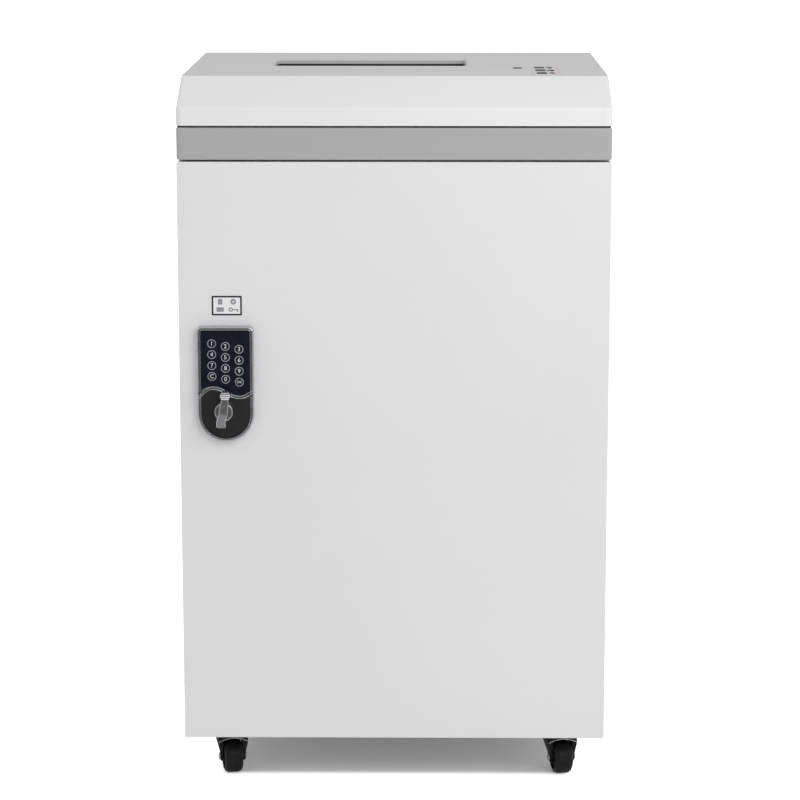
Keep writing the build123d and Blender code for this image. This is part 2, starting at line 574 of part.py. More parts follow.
# Keypad lock on the door: sizes and places of its pieces
LOCK_SIDE_INSET = 54.5
LOCK_DROP = 190.0
LOCK_HEIGHT = 136.0
LOCK_X = LOCK_SIDE_INSET - RIGHT
LOCK_TOP = CABINET_TOP - LOCK_DROP
LOCK_BOTTOM = LOCK_TOP - LOCK_HEIGHT
LOCK_WIDTH = 65.5
LOCK_THICK = 11.0
LOCK_CORNER = 6.0
LOCK_CORNER_LEAST = 2.0
LOCK_RIM = 4.0
LOCK_EDGE_RADIUS = 2.5
FACE_THICK = 2.0
FACE_INSET = 1.0
KEY_CAVITY = 3.6
KEY_RADIUS = 5.2
KEY_PLAY = 0.1
KEY_FLANGE = 0.8
KEY_FLANGE_THICK = 0.8
KEY_PROUD = 0.7
KEY_CHAMFER = 0.4
KEY_BAY_WALL = 2.0
KEY_TRAVEL = 1.2
KEY_ROW_PITCH = 12.87
KEY_COLUMN_PITCH = 15.85
KEY_COLUMN_DROP = 3.3
KEY_SHIFT = 0.2
KEY_TOP_DROP = 23.0
WAVE_UNDER_TOP = 77.7
KEY_TOP_ROW = LOCK_TOP - KEY_TOP_DROP
WAVE_LEVEL = LOCK_TOP - WAVE_UNDER_TOP
WAVE_RISE = 5.6
WAVE_DROP = 5.0
WAVE_LEFT_DROP = 5.0
WAVE_RIGHT_RISE = 1.5
WAVE_OVERRUN = 2.0
TRIM_WIDTH = 3.6
TRIM_PROUD = 0.8
TRIM_INSET = 0.8
KNOB_X = LOCK_X - 2.0
KNOB_Z = LOCK_BOTTOM + 37.0
KNOB_BASE_RADIUS = 11.7
KNOB_BASE_THICK = 9.0
KNOB_BASE_TAPER = 10.0
LEVER_TIP = 27.0
LEVER_TIP_LEAN = 4.0
LEVER_TIP_WIDTH = 13.0
LEVER_NECK = 16.7
LEVER_NECK_WIDTH = 8.8
LEVER_WAIST_WIDTH = 10.4
LEVER_FOOT = -16.6
LEVER_FOOT_LEAN = -2.4
LEVER_FOOT_WIDTH = 11.0
LEVER_CORNER = 2.2
LEVER_SWEEP = 4.0
LEVER_ARM = 9.0
LEVER_EDGE = 1.5
SPINDLE_RADIUS = 4.0
CAM_LENGTH = 40.0
CAM_WIDTH = 14.0
CAM_THICK = 2.5
CAM_PLAY = 0.4
CASE_WIDTH = 62.0
CASE_HEIGHT = 118.0
CASE_THICK = 4.5
CASE_CORNER = 5.0
CASE_BEVEL = 1.5
LOCK_HALF = LOCK_WIDTH / 2
LOCK_FACE_Y = FRONT - LOCK_THICK
PANEL_FACE_Y = LOCK_FACE_Y + FACE_INSET
PANEL_BACK_Y = PANEL_FACE_Y + FACE_THICK

# Door: a folded pan, hung over the whole front; its corners are notched for the hinge tongues
door = Pos(0, HINGE_Y, CABINET_BOTTOM + CABINET_HEIGHT / 2) * Box(WIDTH, DOOR_THICKNESS, CABINET_HEIGHT)
upright = door.edges().filter_by(Axis.Y).group_by(Axis.Z)[-1]
door = fillet(upright, DOOR_CORNER_RADIUS)
door = fillet(door.faces().sort_by(Axis.Y)[0].edges(), DOOR_EDGE_RADIUS)
door = pan(door, SHEET, Axis.Y)
NOTCH_X = HINGE_X - TONGUE_HALF_WIDTH - NOTCH_PLAY
NOTCH_FRONT = FRONT + SHEET + DOOR_EDGE_RADIUS
NOTCH_HEIGHT = TONGUE_PLAY + TONGUE_THICK + NOTCH_PLAY
for low in (CABINET_BOTTOM + SHEET, CABINET_TOP - SHEET - NOTCH_HEIGHT):
    door -= block(NOTCH_X, RIGHT + OVERCUT, NOTCH_FRONT, DOOR_BACK + OVERCUT, low, low + NOTCH_HEIGHT)
pin_bore = HINGE_PIN_RADIUS + PIN_PLAY
door -= rod_z(HINGE_X, HINGE_Y, pin_bore, CABINET_BOTTOM - OVERCUT, CABINET_BOTTOM + 2 * SHEET)
door -= rod_z(HINGE_X, HINGE_Y, pin_bore, CABINET_TOP - 2 * SHEET, CABINET_TOP + OVERCUT)
spindle_bore = SPINDLE_RADIUS + PIN_PLAY
door -= rod_y(KNOB_X, KNOB_Z, spindle_bore, FRONT - OVERCUT, DOOR_BACK)
parts["door_panel"] = door

# Door liner: a flat sheet inside the door's returns, cut back at the hinge corners
LINER_PLAY = 0.2
liner_width = WIDTH - 2 * (SHEET + LINER_PLAY)
liner_height = CABINET_HEIGHT - 2 * (SHEET + LINER_PLAY)
liner_middle_z = CABINET_BOTTOM + CABINET_HEIGHT / 2
liner = Pos(0, DOOR_BACK - SHEET / 2, liner_middle_z) * Box(liner_width, SHEET, liner_height)
liner = fillet(liner.edges().filter_by(Axis.Y).group_by(Axis.Z)[-1], DOOR_CORNER_RADIUS)
corner_height = SHEET + NOTCH_HEIGHT
for low in (CABINET_BOTTOM, CABINET_TOP - corner_height):
    liner -= block(NOTCH_X, RIGHT, FRONT, DOOR_BACK + OVERCUT, low, low + corner_height)
liner -= rod_y(KNOB_X, KNOB_Z, spindle_bore, FRONT, DOOR_BACK + OVERCUT)
parts["door_liner"] = liner


def above_wave(z_shift):
    """The region of the lock's front over a swept line with a crest at its left and a trough at its right."""
    level = WAVE_LEVEL + z_shift
    edge = LOCK_HALF + WAVE_OVERRUN
    start = (-edge, level - WAVE_LEFT_DROP)
    end = (edge, level + WAVE_RIGHT_RISE)
    line = Spline(start, (-LOCK_HALF / 2, level + WAVE_RISE), (LOCK_HALF / 2, level - WAVE_DROP), end)
    over = LOCK_TOP + WAVE_OVERRUN
    return make_face(line + Polyline(end, (edge, over), (-edge, over), start))


def lock_outline(inset):
    """The lock's front outline: straight top with small corners and a half-round bottom."""
    half = LOCK_HALF - inset
    bottom = LOCK_BOTTOM + LOCK_HALF
    square = Pos(0, (LOCK_TOP - inset + bottom) / 2) * Rectangle(2 * half, LOCK_TOP - inset - bottom)
    square = fillet(square.vertices().group_by(Axis.Y)[-1], max(LOCK_CORNER - inset, LOCK_CORNER_LEAST))
    return square + Pos(0, bottom) * Circle(half)


def on_lock(sketch, y_front, thick):
    """Extrude a sketch of the lock's front backwards from a depth."""
    return extrude(front_view(sketch, LOCK_X, y_front, 0), -thick)


bezel = on_lock(lock_outline(0), LOCK_FACE_Y, LOCK_THICK)
bezel = fillet(bezel.faces().sort_by(Axis.Y)[0].edges(), LOCK_EDGE_RADIUS)
bezel -= on_lock(lock_outline(LOCK_RIM), LOCK_FACE_Y, FACE_INSET + FACE_THICK)
key_bay = lock_outline(LOCK_RIM + KEY_BAY_WALL) & above_wave(TRIM_WIDTH)
bezel -= on_lock(key_bay, PANEL_BACK_Y, KEY_CAVITY)
bezel -= rod_y(KNOB_X, KNOB_Z, spindle_bore, LOCK_FACE_Y - OVERCUT, FRONT + OVERCUT)
parts["lock_bezel"] = bezel

face_outline = lock_outline(LOCK_RIM + KEY_PLAY)
upper = face_outline & above_wave(TRIM_WIDTH / 2)
lower = face_outline - above_wave(-TRIM_WIDTH / 2)
half_trim = TRIM_WIDTH / 2
trim = lock_outline(TRIM_INSET) & (above_wave(KEY_PLAY - half_trim) - above_wave(half_trim - KEY_PLAY))
keypad = on_lock(upper, PANEL_FACE_Y, FACE_THICK)
lower_plate = on_lock(lower, PANEL_FACE_Y, FACE_THICK)
parts["lock_lower"] = lower_plate - rod_y(KNOB_X, KNOB_Z, spindle_bore, LOCK_FACE_Y - OVERCUT, FRONT)
trim_bar = on_lock(trim, LOCK_FACE_Y - TRIM_PROUD, TRIM_PROUD)
parts["lock_trim"] = trim_bar + on_lock(face_outline & trim, LOCK_FACE_Y, FACE_INSET + FACE_THICK)

KEY_SEAT = PANEL_BACK_Y + KEY_PLAY
KEYS = ["1", "2", "3", "4", "5", "6", "7", "8", "9", "clear", "0", "ok"]
key_places = {}
for index, name in enumerate(KEYS):
    row, column = divmod(index, 3)
    x = (column - 1) * KEY_COLUMN_PITCH + KEY_SHIFT
    z = KEY_TOP_ROW - row * KEY_ROW_PITCH - (column - 1) * KEY_COLUMN_DROP
    key_places[name] = (LOCK_X + x, z)
for name, (x, z) in key_places.items():
    keypad -= rod_y(x, z, KEY_RADIUS + KEY_PLAY, PANEL_FACE_Y - OVERCUT, PANEL_BACK_Y + OVERCUT)
    cap = rod_y(x, z, KEY_RADIUS, PANEL_FACE_Y - KEY_PROUD, KEY_SEAT)
    cap = chamfer(cap.faces().sort_by(Axis.Y)[0].edges(), KEY_CHAMFER)
    parts["key_" + name] = cap + rod_y(x, z, KEY_RADIUS + KEY_FLANGE, KEY_SEAT, KEY_SEAT + KEY_FLANGE_THICK)
parts["lock_face"] = keypad

# Lock case: a shallow cover on the door's inside, with the cam turning behind it
case_outline = RectangleRounded(CASE_WIDTH, CASE_HEIGHT, CASE_CORNER)
case = extrude(front_view(case_outline, LOCK_X, DOOR_BACK, (LOCK_TOP + LOCK_BOTTOM) / 2), -CASE_THICK)
case = chamfer(case.faces().sort_by(Axis.Y)[-1].edges(), CASE_BEVEL)
case -= rod_y(KNOB_X, KNOB_Z, spindle_bore, FRONT, DOOR_BACK + CASE_THICK + OVERCUT)
parts["lock_case"] = case

# Knob: a round base and a swept lever on one spindle; the cam is fixed on its inner end
CAM_FRONT_Y = DOOR_BACK + CASE_THICK + CAM_PLAY
knob_base_back = PANEL_FACE_Y - CAM_PLAY
knob_front = FRONT - KNOB_PROUD
knob_base_front = knob_base_back - KNOB_BASE_THICK
dial = front_view(Circle(KNOB_BASE_RADIUS), KNOB_X, knob_base_back, KNOB_Z)
knob = extrude(dial, KNOB_BASE_THICK, taper=KNOB_BASE_TAPER)
lever_rows = [
    (LEVER_TIP, LEVER_TIP_LEAN, LEVER_NECK_WIDTH),
    ((LEVER_TIP + LEVER_NECK) / 2, LEVER_TIP_LEAN * 0.7, LEVER_TIP_WIDTH),
    (LEVER_NECK, LEVER_TIP_LEAN * 0.6, LEVER_NECK_WIDTH),
    (0, 0, LEVER_WAIST_WIDTH),
    (LEVER_FOOT / 2, LEVER_FOOT_LEAN, LEVER_WAIST_WIDTH),
    (LEVER_FOOT, LEVER_FOOT_LEAN, LEVER_FOOT_WIDTH),
]
lever_right = [(lean + width / 2, z) for z, lean, width in lever_rows]
lever_left = [(lean - width / 2, z) for z, lean, width in reversed(lever_rows)]
lever_outline = make_face(Polyline(*lever_right, *lever_left, close=True))
lever_outline = fillet(lever_outline.vertices(), LEVER_CORNER)
lever = extrude(front_view(lever_outline, KNOB_X, knob_base_back, KNOB_Z), knob_base_back - knob_front)
lever_side = Plane.YZ * make_face(
    Polyline(
        (knob_front, KNOB_Z + LEVER_TIP),
        (knob_front + LEVER_SWEEP / 2, KNOB_Z),
        (knob_front + LEVER_SWEEP, KNOB_Z + LEVER_FOOT),
        (knob_front + LEVER_ARM, KNOB_Z + LEVER_FOOT),
        (knob_base_front + LEVER_EDGE, KNOB_Z - KNOB_BASE_RADIUS / 2),
        (knob_base_front + LEVER_EDGE, KNOB_Z + KNOB_BASE_RADIUS / 2),
        (knob_front + LEVER_ARM, KNOB_Z + LEVER_TIP),
        close=True,
    )
)
lever &= Pos(KNOB_X, 0, 0) * extrude(lever_side, LEVER_TIP_WIDTH, both=True)
knob += lever
knob += rod_y(KNOB_X, KNOB_Z, SPINDLE_RADIUS, knob_base_back, CAM_FRONT_Y)
parts["lock_knob"] = knob

cam = SlotOverall(CAM_LENGTH + CAM_WIDTH / 2, CAM_WIDTH, rotation=90)
cam_middle_z = KNOB_Z - (CAM_LENGTH - CAM_WIDTH / 2) / 2
parts["lock_cam"] = extrude(front_view(cam, KNOB_X, CAM_FRONT_Y, cam_middle_z), -CAM_THICK)

# Cutting unit: two interleaved rollers of hooked discs, turned by a motor through a gear train
ROLLER_SPACING = 46.0
DISC_RADIUS = 26.0
DISC_PITCH = 16.0
DISC_THICK = 7.8
DISC_COUNT = 15
HOOKS = 6
HOOK_DEPTH = 4.2
HOOK_UNDERCUT = 5.0
DISC_TWIST = 17.0
CORE_RADIUS = 18.0
JOURNAL_RADIUS = 8.0
FRAME_THICK = 6.0
FRAME_CLEARANCE = 4.0
FRAME_OVER_NIP = 42.0
FRAME_AHEAD_OF_NIP = 92.25
FRAME_BEHIND_NIP = 73.75
FRAME_TOP = NIP_Z + FRAME_OVER_NIP
FRAME_FRONT = NIP_Y - FRAME_AHEAD_OF_NIP
FRAME_BACK = NIP_Y + FRAME_BEHIND_NIP
CHEEK_SHOULDER = 10.0
CHEEK_TOP_REACH = 22.0
BEARING_RADIUS = 13.0
BEARING_FLANGE = 15.5
BEARING_FLANGE_THICK = 2.0
BEARING_FIT = 0.02
MODULE = 2.0
PRESSURE_ANGLE = radians(25)
BACKLASH = 0.3
SYNC_TEETH = 23
DRIVE_TEETH = 46
IDLER_TEETH = 44
IDLER_PINION_TEETH = 14
MOTOR_TEETH = 11
GEAR_WIDTH = 10.0
IDLER_WIDTH = 8.0
GEAR_GAP = 2.5
IDLER_ANGLE = 30.0
MOTOR_ANGLE = -39.5

CUT_WIDTH = DISC_COUNT * DISC_PITCH
PLATE_LEFT = FEED_X - CUT_WIDTH / 2 - FRAME_CLEARANCE
PLATE_RIGHT = FEED_X + CUT_WIDTH / 2 + FRAME_CLEARANCE
FRONT_AXIS_Y = NIP_Y - ROLLER_SPACING / 2
REAR_AXIS_Y = NIP_Y + ROLLER_SPACING / 2
idler_reach = MODULE * (DRIVE_TEETH + IDLER_PINION_TEETH) / 2
motor_reach = MODULE * (IDLER_TEETH + MOTOR_TEETH) / 2
IDLER_Y = REAR_AXIS_Y + idler_reach * cos(radians(IDLER_ANGLE))
IDLER_Z = NIP_Z + idler_reach * sin(radians(IDLER_ANGLE))
MOTOR_Y = IDLER_Y + motor_reach * cos(radians(MOTOR_ANGLE))
MOTOR_Z = IDLER_Z + motor_reach * sin(radians(MOTOR_ANGLE))


def turned(radius, angle):
    """A point at a radius and an angle in degrees."""
    return (radius * cos(radians(angle)), radius * sin(radians(angle)))


def gear(teeth, width, bore, tooth_at):
    """A spur gear along +X from the origin, with a tooth centred at an angle in the YZ plane."""
    pitch = MODULE * teeth / 2
    base = pitch * cos(PRESSURE_ANGLE)
    tip = pitch + MODULE
    root = pitch - 1.25 * MODULE

    def half_tooth(radius):
        """Half the tooth's angle at a radius, in degrees, from the involute of the base circle."""
        roll = acos(min(1.0, base / radius))
        spread = tan(roll) - roll
        pitch_spread = tan(PRESSURE_ANGLE) - PRESSURE_ANGLE
        return degrees((pi * MODULE / 2 - BACKLASH) / (2 * pitch) + pitch_spread - spread)

    outline = []
    for tooth in range(teeth):
        centre = tooth_at + tooth * 360 / teeth
        wide, narrow = half_tooth(max(root, base)), half_tooth(tip)
        outline += [turned(root, centre - wide), turned(tip, centre - narrow)]
        outline += [turned(tip, centre + narrow), turned(root, centre + wide)]
    sketch = make_face(Polyline(*outline, close=True)) - Circle(bore)
    return extrude(Plane.YZ * sketch, width)


def hooked_disc(twist):
    """One cutting disc along +X: a ring of ramps that each end in an undercut hook."""
    outline = []
    for hook in range(HOOKS):
        tip = twist + hook * 360 / HOOKS
        outline.append(turned(DISC_RADIUS, tip))
        outline.append(turned(DISC_RADIUS - HOOK_DEPTH, tip + HOOK_UNDERCUT))
        outline.append(turned(DISC_RADIUS - HOOK_DEPTH / 2.5, tip + 180 / HOOKS))
    return extrude(Plane.YZ * make_face(Polyline(*outline, close=True)), DISC_THICK)


def roller(start, hand):
    """Hexagonal core, discs twisted one after the other, and a round journal at each end."""
    core = extrude(Plane.YZ * RegularPolygon(CORE_RADIUS, 6), CUT_WIDTH)
    discs = []
    for disc in range(DISC_COUNT):
        discs.append(Pos(start + disc * DISC_PITCH, 0, 0) * hooked_disc(hand * disc * DISC_TWIST))
    return Pos(-CUT_WIDTH / 2, 0, 0) * (core + discs)


side_play = (DISC_PITCH / 2 - DISC_THICK) / 2
SYNC_X = PLATE_LEFT - FRAME_THICK - BEARING_FLANGE_THICK - GEAR_GAP - GEAR_WIDTH
DRIVE_X = PLATE_RIGHT + FRAME_THICK + BEARING_FLANGE_THICK + GEAR_GAP
shaft_left = SYNC_X - GEAR_GAP
front_shaft_right = PLATE_RIGHT + FRAME_THICK + BEARING_FLANGE_THICK
rear_shaft_right = DRIVE_X + GEAR_WIDTH + GEAR_GAP
front_roller = Pos(FEED_X, FRONT_AXIS_Y, NIP_Z) * roller(side_play, 1)
rear_roller = Pos(FEED_X, REAR_AXIS_Y, NIP_Z) * roller(DISC_PITCH / 2 + side_play, -1)
front_roller += rod_x(FRONT_AXIS_Y, NIP_Z, JOURNAL_RADIUS, shaft_left, front_shaft_right)
parts["roller_front"] = front_roller
parts["roller_rear"] = rear_roller + rod_x(REAR_AXIS_Y, NIP_Z, JOURNAL_RADIUS, shaft_left, rear_shaft_right)

# Gears: a tooth of each driver points at its follower, which has a gap there
HALF_TURN = 180.0
sync_rear = Pos(SYNC_X, REAR_AXIS_Y, NIP_Z) * gear(SYNC_TEETH, GEAR_WIDTH, JOURNAL_RADIUS, HALF_TURN)
sync_front = gear(SYNC_TEETH, GEAR_WIDTH, JOURNAL_RADIUS, HALF_TURN / SYNC_TEETH)
sync_front = Pos(SYNC_X, FRONT_AXIS_Y, NIP_Z) * sync_front
drive = Pos(DRIVE_X, REAR_AXIS_Y, NIP_Z) * gear(DRIVE_TEETH, GEAR_WIDTH, JOURNAL_RADIUS, IDLER_ANGLE)
parts["sync_gear_front"] = sync_front
parts["roller_rear_gears"] = Compound([sync_rear, drive])
IDLER_PIN_RADIUS = 6.0
IDLER_BIG_X = DRIVE_X + GEAR_WIDTH + GEAR_GAP
idler_at = Pos(DRIVE_X, IDLER_Y, IDLER_Z)
small = gear(
    IDLER_PINION_TEETH,
    GEAR_WIDTH + GEAR_GAP,
    IDLER_PIN_RADIUS + PIN_PLAY,
    IDLER_ANGLE + HALF_TURN + HALF_TURN / IDLER_PINION_TEETH,
)
big = gear(IDLER_TEETH, IDLER_WIDTH, IDLER_PIN_RADIUS + PIN_PLAY, MOTOR_ANGLE)
big = Pos(GEAR_WIDTH + GEAR_GAP, 0, 0) * big
parts["idler_gear"] = idler_at * (small + big)

# Motor: a ribbed round housing on the right frame plate, with the rotor and its pinion inside
MOTOR_RADIUS = 48.0
MOTOR_LENGTH = 150.0
MOTOR_WALL = 5.0
MOTOR_RIBS = 18
MOTOR_RIB_DEPTH = 3.0
MOTOR_RIB_WIDTH = 5.0
ROTOR_RADIUS = 30.0
ROTOR_AIR = 12.0
MOTOR_SHAFT_RADIUS = 6.0
motor_right = PLATE_RIGHT
motor_left = motor_right - MOTOR_LENGTH
housing = rod_x(MOTOR_Y, MOTOR_Z, MOTOR_RADIUS, motor_left, motor_right)
rib_gap = Box(MOTOR_LENGTH - 4 * MOTOR_WALL, MOTOR_RIB_WIDTH, 2 * MOTOR_RIB_DEPTH)
rib_gap = Pos((motor_left + motor_right) / 2, 0, 0) * rib_gap
for rib in range(MOTOR_RIBS):
    turn = Rot(rib * 360 / MOTOR_RIBS, 0, 0)
    housing -= Pos(0, MOTOR_Y, MOTOR_Z) * turn * Pos(0, 0, MOTOR_RADIUS) * rib_gap
motor_bore = MOTOR_RADIUS - MOTOR_RIB_DEPTH - MOTOR_WALL
housing -= rod_x(MOTOR_Y, MOTOR_Z, motor_bore, motor_left + MOTOR_WALL, motor_right - MOTOR_WALL)
shaft_bore = MOTOR_SHAFT_RADIUS + PIN_PLAY
housing -= rod_x(MOTOR_Y, MOTOR_Z, shaft_bore, motor_left - OVERCUT, motor_right + OVERCUT)
parts["motor_housing"] = housing
rotor = rod_x(MOTOR_Y, MOTOR_Z, ROTOR_RADIUS, motor_left + ROTOR_AIR, motor_right - ROTOR_AIR)
rotor += rod_x(MOTOR_Y, MOTOR_Z, MOTOR_SHAFT_RADIUS, motor_left - GEAR_GAP, IDLER_BIG_X + IDLER_WIDTH)
pinion = Pos(IDLER_BIG_X, MOTOR_Y, MOTOR_Z) * gear(
    MOTOR_TEETH, IDLER_WIDTH, MOTOR_SHAFT_RADIUS - 1, MOTOR_ANGLE + HALF_TURN + HALF_TURN / MOTOR_TEETH
)
parts["motor_rotor"] = rotor + pinion

# Frame plates: two thick steel cheeks that stand on the shelf; the right one also carries the motor
MOTOR_HOLE_RADIUS = 16.0
MOTOR_EAR = 8.0
MOTOR_EAR_RISE = 12.0
MOTOR_EAR_SHOULDER = 20.0
cheek_front = [
    (FRAME_FRONT, SHELF_Z),
    (FRAME_FRONT, NIP_Z + CHEEK_SHOULDER),
    (FRONT_AXIS_Y - CHEEK_TOP_REACH, FRAME_TOP),
]
cheek_back = [
    (REAR_AXIS_Y + CHEEK_TOP_REACH, FRAME_TOP),
    (FRAME_BACK, NIP_Z + CHEEK_SHOULDER),
    (FRAME_BACK, SHELF_Z),
]
motor_back_y = MOTOR_Y + MOTOR_RADIUS + MOTOR_EAR
motor_back = [
    (MOTOR_Y + MOTOR_RADIUS - MOTOR_EAR, FRAME_TOP + MOTOR_EAR_RISE),
    (motor_back_y, FRAME_TOP - MOTOR_EAR_SHOULDER),
    (motor_back_y, SHELF_Z),
]
cheek = make_face(Polyline(*cheek_front, *cheek_back, close=True))
motor_cheek = make_face(Polyline(*cheek_front, *motor_back, close=True))
for y in (FRONT_AXIS_Y, REAR_AXIS_Y):
    cheek -= Pos(y, NIP_Z) * Circle(BEARING_RADIUS + BEARING_FIT)
    motor_cheek -= Pos(y, NIP_Z) * Circle(BEARING_RADIUS + BEARING_FIT)
motor_cheek -= Pos(MOTOR_Y, MOTOR_Z) * Circle(MOTOR_HOLE_RADIUS)
left_cheek = extrude(side_view(cheek, PLATE_LEFT - FRAME_THICK), FRAME_THICK)
right_cheek = extrude(side_view(motor_cheek, PLATE_RIGHT), FRAME_THICK)
parts["frame_plates"] = Compound([left_cheek, right_cheek])

# Flanged bearing bushes, pressed into the cheeks from outside
bushes = []
for y in (FRONT_AXIS_Y, REAR_AXIS_Y):
    for inner, outward in ((PLATE_LEFT, -1), (PLATE_RIGHT, 1)):
        face = inner + outward * FRAME_THICK
        low, high = sorted((inner, face + outward * BEARING_FLANGE_THICK))
        flange_low, flange_high = sorted((face, face + outward * BEARING_FLANGE_THICK))
        bush = rod_x(y, NIP_Z, BEARING_RADIUS, low, high)
        bush += rod_x(y, NIP_Z, BEARING_FLANGE, flange_low, flange_high)
        bushes.append(bush - rod_x(y, NIP_Z, JOURNAL_RADIUS + PIN_PLAY, low - OVERCUT, high + OVERCUT))
parts["roller_bearings"] = Compound(bushes)

# Tie rods hold the cheeks apart; the idler's stub pin stands on the right cheek
ROD_RADIUS = 5.0
ROD_INSET = 14.0
COLLAR_RISE = 3.0
PIN_END_PLAY = 1.0
ROD_PLACES = (
    (FRAME_FRONT + ROD_INSET, SHELF_Z + ROD_INSET),
    (FRAME_FRONT + ROD_INSET, NIP_Z - 2),
    (FRAME_BACK - ROD_INSET, SHELF_Z + ROD_INSET),
)
rods = [rod_x(y, z, ROD_RADIUS, PLATE_LEFT, PLATE_RIGHT) for y, z in ROD_PLACES]
pin_start = PLATE_RIGHT + FRAME_THICK
pin_end = IDLER_BIG_X + IDLER_WIDTH + PIN_END_PLAY
pin_collar = IDLER_PIN_RADIUS + COLLAR_RISE
stub = rod_x(IDLER_Y, IDLER_Z, IDLER_PIN_RADIUS, pin_start, pin_end)
stub += rod_x(IDLER_Y, IDLER_Z, pin_collar, pin_end, pin_end + 2 * PIN_END_PLAY)
stub += rod_x(IDLER_Y, IDLER_Z, pin_collar, pin_start, DRIVE_X - PIN_END_PLAY)
rods.append(stub)
parts["tie_rods"] = Compound(rods)

# Strippers: a comb for each roller, with a finger between each pair of discs
COMB_PLAY = 0.3
COMB_REACH = 5.0
COMB_SPINE = 6.0
COMB_HEIGHT = 24.0
FINGER_THICK = DISC_PITCH - DISC_THICK - 2 * COMB_PLAY
spine_radius = DISC_RADIUS + 1.5
finger_radius = CORE_RADIUS + 1.0
FINGER_INSET = 3.0


def comb(axis_y, outward, start):
    """A spine in front of or behind a roller, and fingers that end close to its core."""
    spine_y = axis_y + outward * spine_radius
    low, high = sorted((spine_y, spine_y + outward * COMB_SPINE))
    z0 = NIP_Z - COMB_HEIGHT / 2
    solid = block(PLATE_LEFT, PLATE_RIGHT, low, high, z0, z0 + COMB_HEIGHT)
    low, high = sorted((axis_y + outward * (finger_radius - COMB_REACH), spine_y + outward))
    half = FINGER_THICK / 2
    finger = block(-half, half, low, high, z0 + FINGER_INSET, z0 + COMB_HEIGHT - FINGER_INSET)
    finger -= rod_x(axis_y, NIP_Z, finger_radius, -DISC_PITCH, DISC_PITCH)
    first = FEED_X - CUT_WIDTH / 2 + start + (DISC_PITCH + DISC_THICK) / 2
    for gap in range(DISC_COUNT - 1):
        solid += Pos(first + gap * DISC_PITCH, 0, 0) * finger
    return solid


parts["stripper_combs"] = Compound(
    [comb(FRONT_AXIS_Y, -1, side_play), comb(REAR_AXIS_Y, 1, DISC_PITCH / 2 + side_play)]
)

# Control board on four standoffs, beside the cutting unit: transformer, relay and two capacitors
BOARD_SIDE_INSET = 65.0
BOARD_BEHIND_FRONT = 119.75
BOARD_X = RIGHT - BOARD_SIDE_INSET
BOARD_Y = FRONT + BOARD_BEHIND_FRONT
BOARD_WIDTH = 86.0
BOARD_LENGTH = 120.0
BOARD_THICK = 1.6
BOARD_LIFT = 10.0
STANDOFF_RADIUS = 3.5
STANDOFF_INSET = 6.0
TRANSFORMER_WIDTH = 24.0
TRANSFORMER_LENGTH = 30.0
TRANSFORMER_HEIGHT = 22.0
RELAY_WIDTH = 26.0
RELAY_LENGTH = 20.0
RELAY_HEIGHT = 16.0
CAPACITOR_RADIUS = 9.0
CAPACITOR_HEIGHT = 26.0
COMPONENT_ROW = 30.0
COMPONENT_PITCH = 40.0
CAPACITOR_ROW = -24.0
CAPACITOR_PITCH = 26.0
board_top = SHELF_Z + BOARD_LIFT + BOARD_THICK
board = Pos(BOARD_X, BOARD_Y, board_top - BOARD_THICK / 2) * Box(BOARD_WIDTH, BOARD_LENGTH, BOARD_THICK)
standoff = rod_z(BOARD_X, BOARD_Y, STANDOFF_RADIUS, SHELF_Z, SHELF_Z + BOARD_LIFT)
for place in GridLocations(BOARD_WIDTH - 2 * STANDOFF_INSET, BOARD_LENGTH - 2 * STANDOFF_INSET, 2, 2):
    board += place * standoff


def component(column, row, width, length, height):
    """A block-shaped component on the board."""
    return Pos(BOARD_X + column, BOARD_Y + row, board_top + height / 2) * Box(width, length, height)


left_column = -COMPONENT_PITCH / 2
board += component(left_column, COMPONENT_ROW, TRANSFORMER_WIDTH, TRANSFORMER_LENGTH, TRANSFORMER_HEIGHT)
board += component(-left_column, COMPONENT_ROW, RELAY_WIDTH, RELAY_LENGTH, RELAY_HEIGHT)
capacitor_y = BOARD_Y + CAPACITOR_ROW
for side in (-1, 1):
    capacitor_x = BOARD_X + side * CAPACITOR_PITCH / 2
    board += rod_z(capacitor_x, capacitor_y, CAPACITOR_RADIUS, board_top, board_top + CAPACITOR_HEIGHT)
parts["control_board"] = board

# Waste bin: a drafted tub with a rolled rim and a hand hole in its front
BIN_SIDE_ROOM = 43.4
BIN_END_ROOM = 40.15
BIN_HEAD_ROOM = 40.0
BIN_WIDTH = INNER_WIDTH - 2 * BIN_SIDE_ROOM
BIN_LENGTH = tray_depth - 2 * BIN_END_ROOM
BIN_HEIGHT = SHELF_Z - BASE_TOP - BIN_HEAD_ROOM
BIN_WALL = 3.0
BIN_DRAFT = 1.0
BIN_RIM = 6.0
BIN_RIM_THICK = 5.0
BIN_CORNER = 24.0
HAND_HOLE_WIDTH = 110.0
HAND_HOLE_HEIGHT = 32.0
HAND_HOLE_DROP = 48.0
bin_y = tray_y


def drafted(width, length, corner, bottom):
    """A rectangular tub shape that widens upwards by the bin's draft."""
    return extrude(
        Pos(0, bin_y, bottom) * RectangleRounded(width, length, corner),
        BASE_TOP + BIN_HEIGHT - bottom,
        taper=-BIN_DRAFT,
    )


def rim_outline(growth, corner):
    """The tub's outline at its top, grown on each side."""
    spread = 2 * (BIN_HEIGHT * tan(radians(BIN_DRAFT)) + growth)
    return RectangleRounded(BIN_WIDTH + spread, BIN_LENGTH + spread, corner)


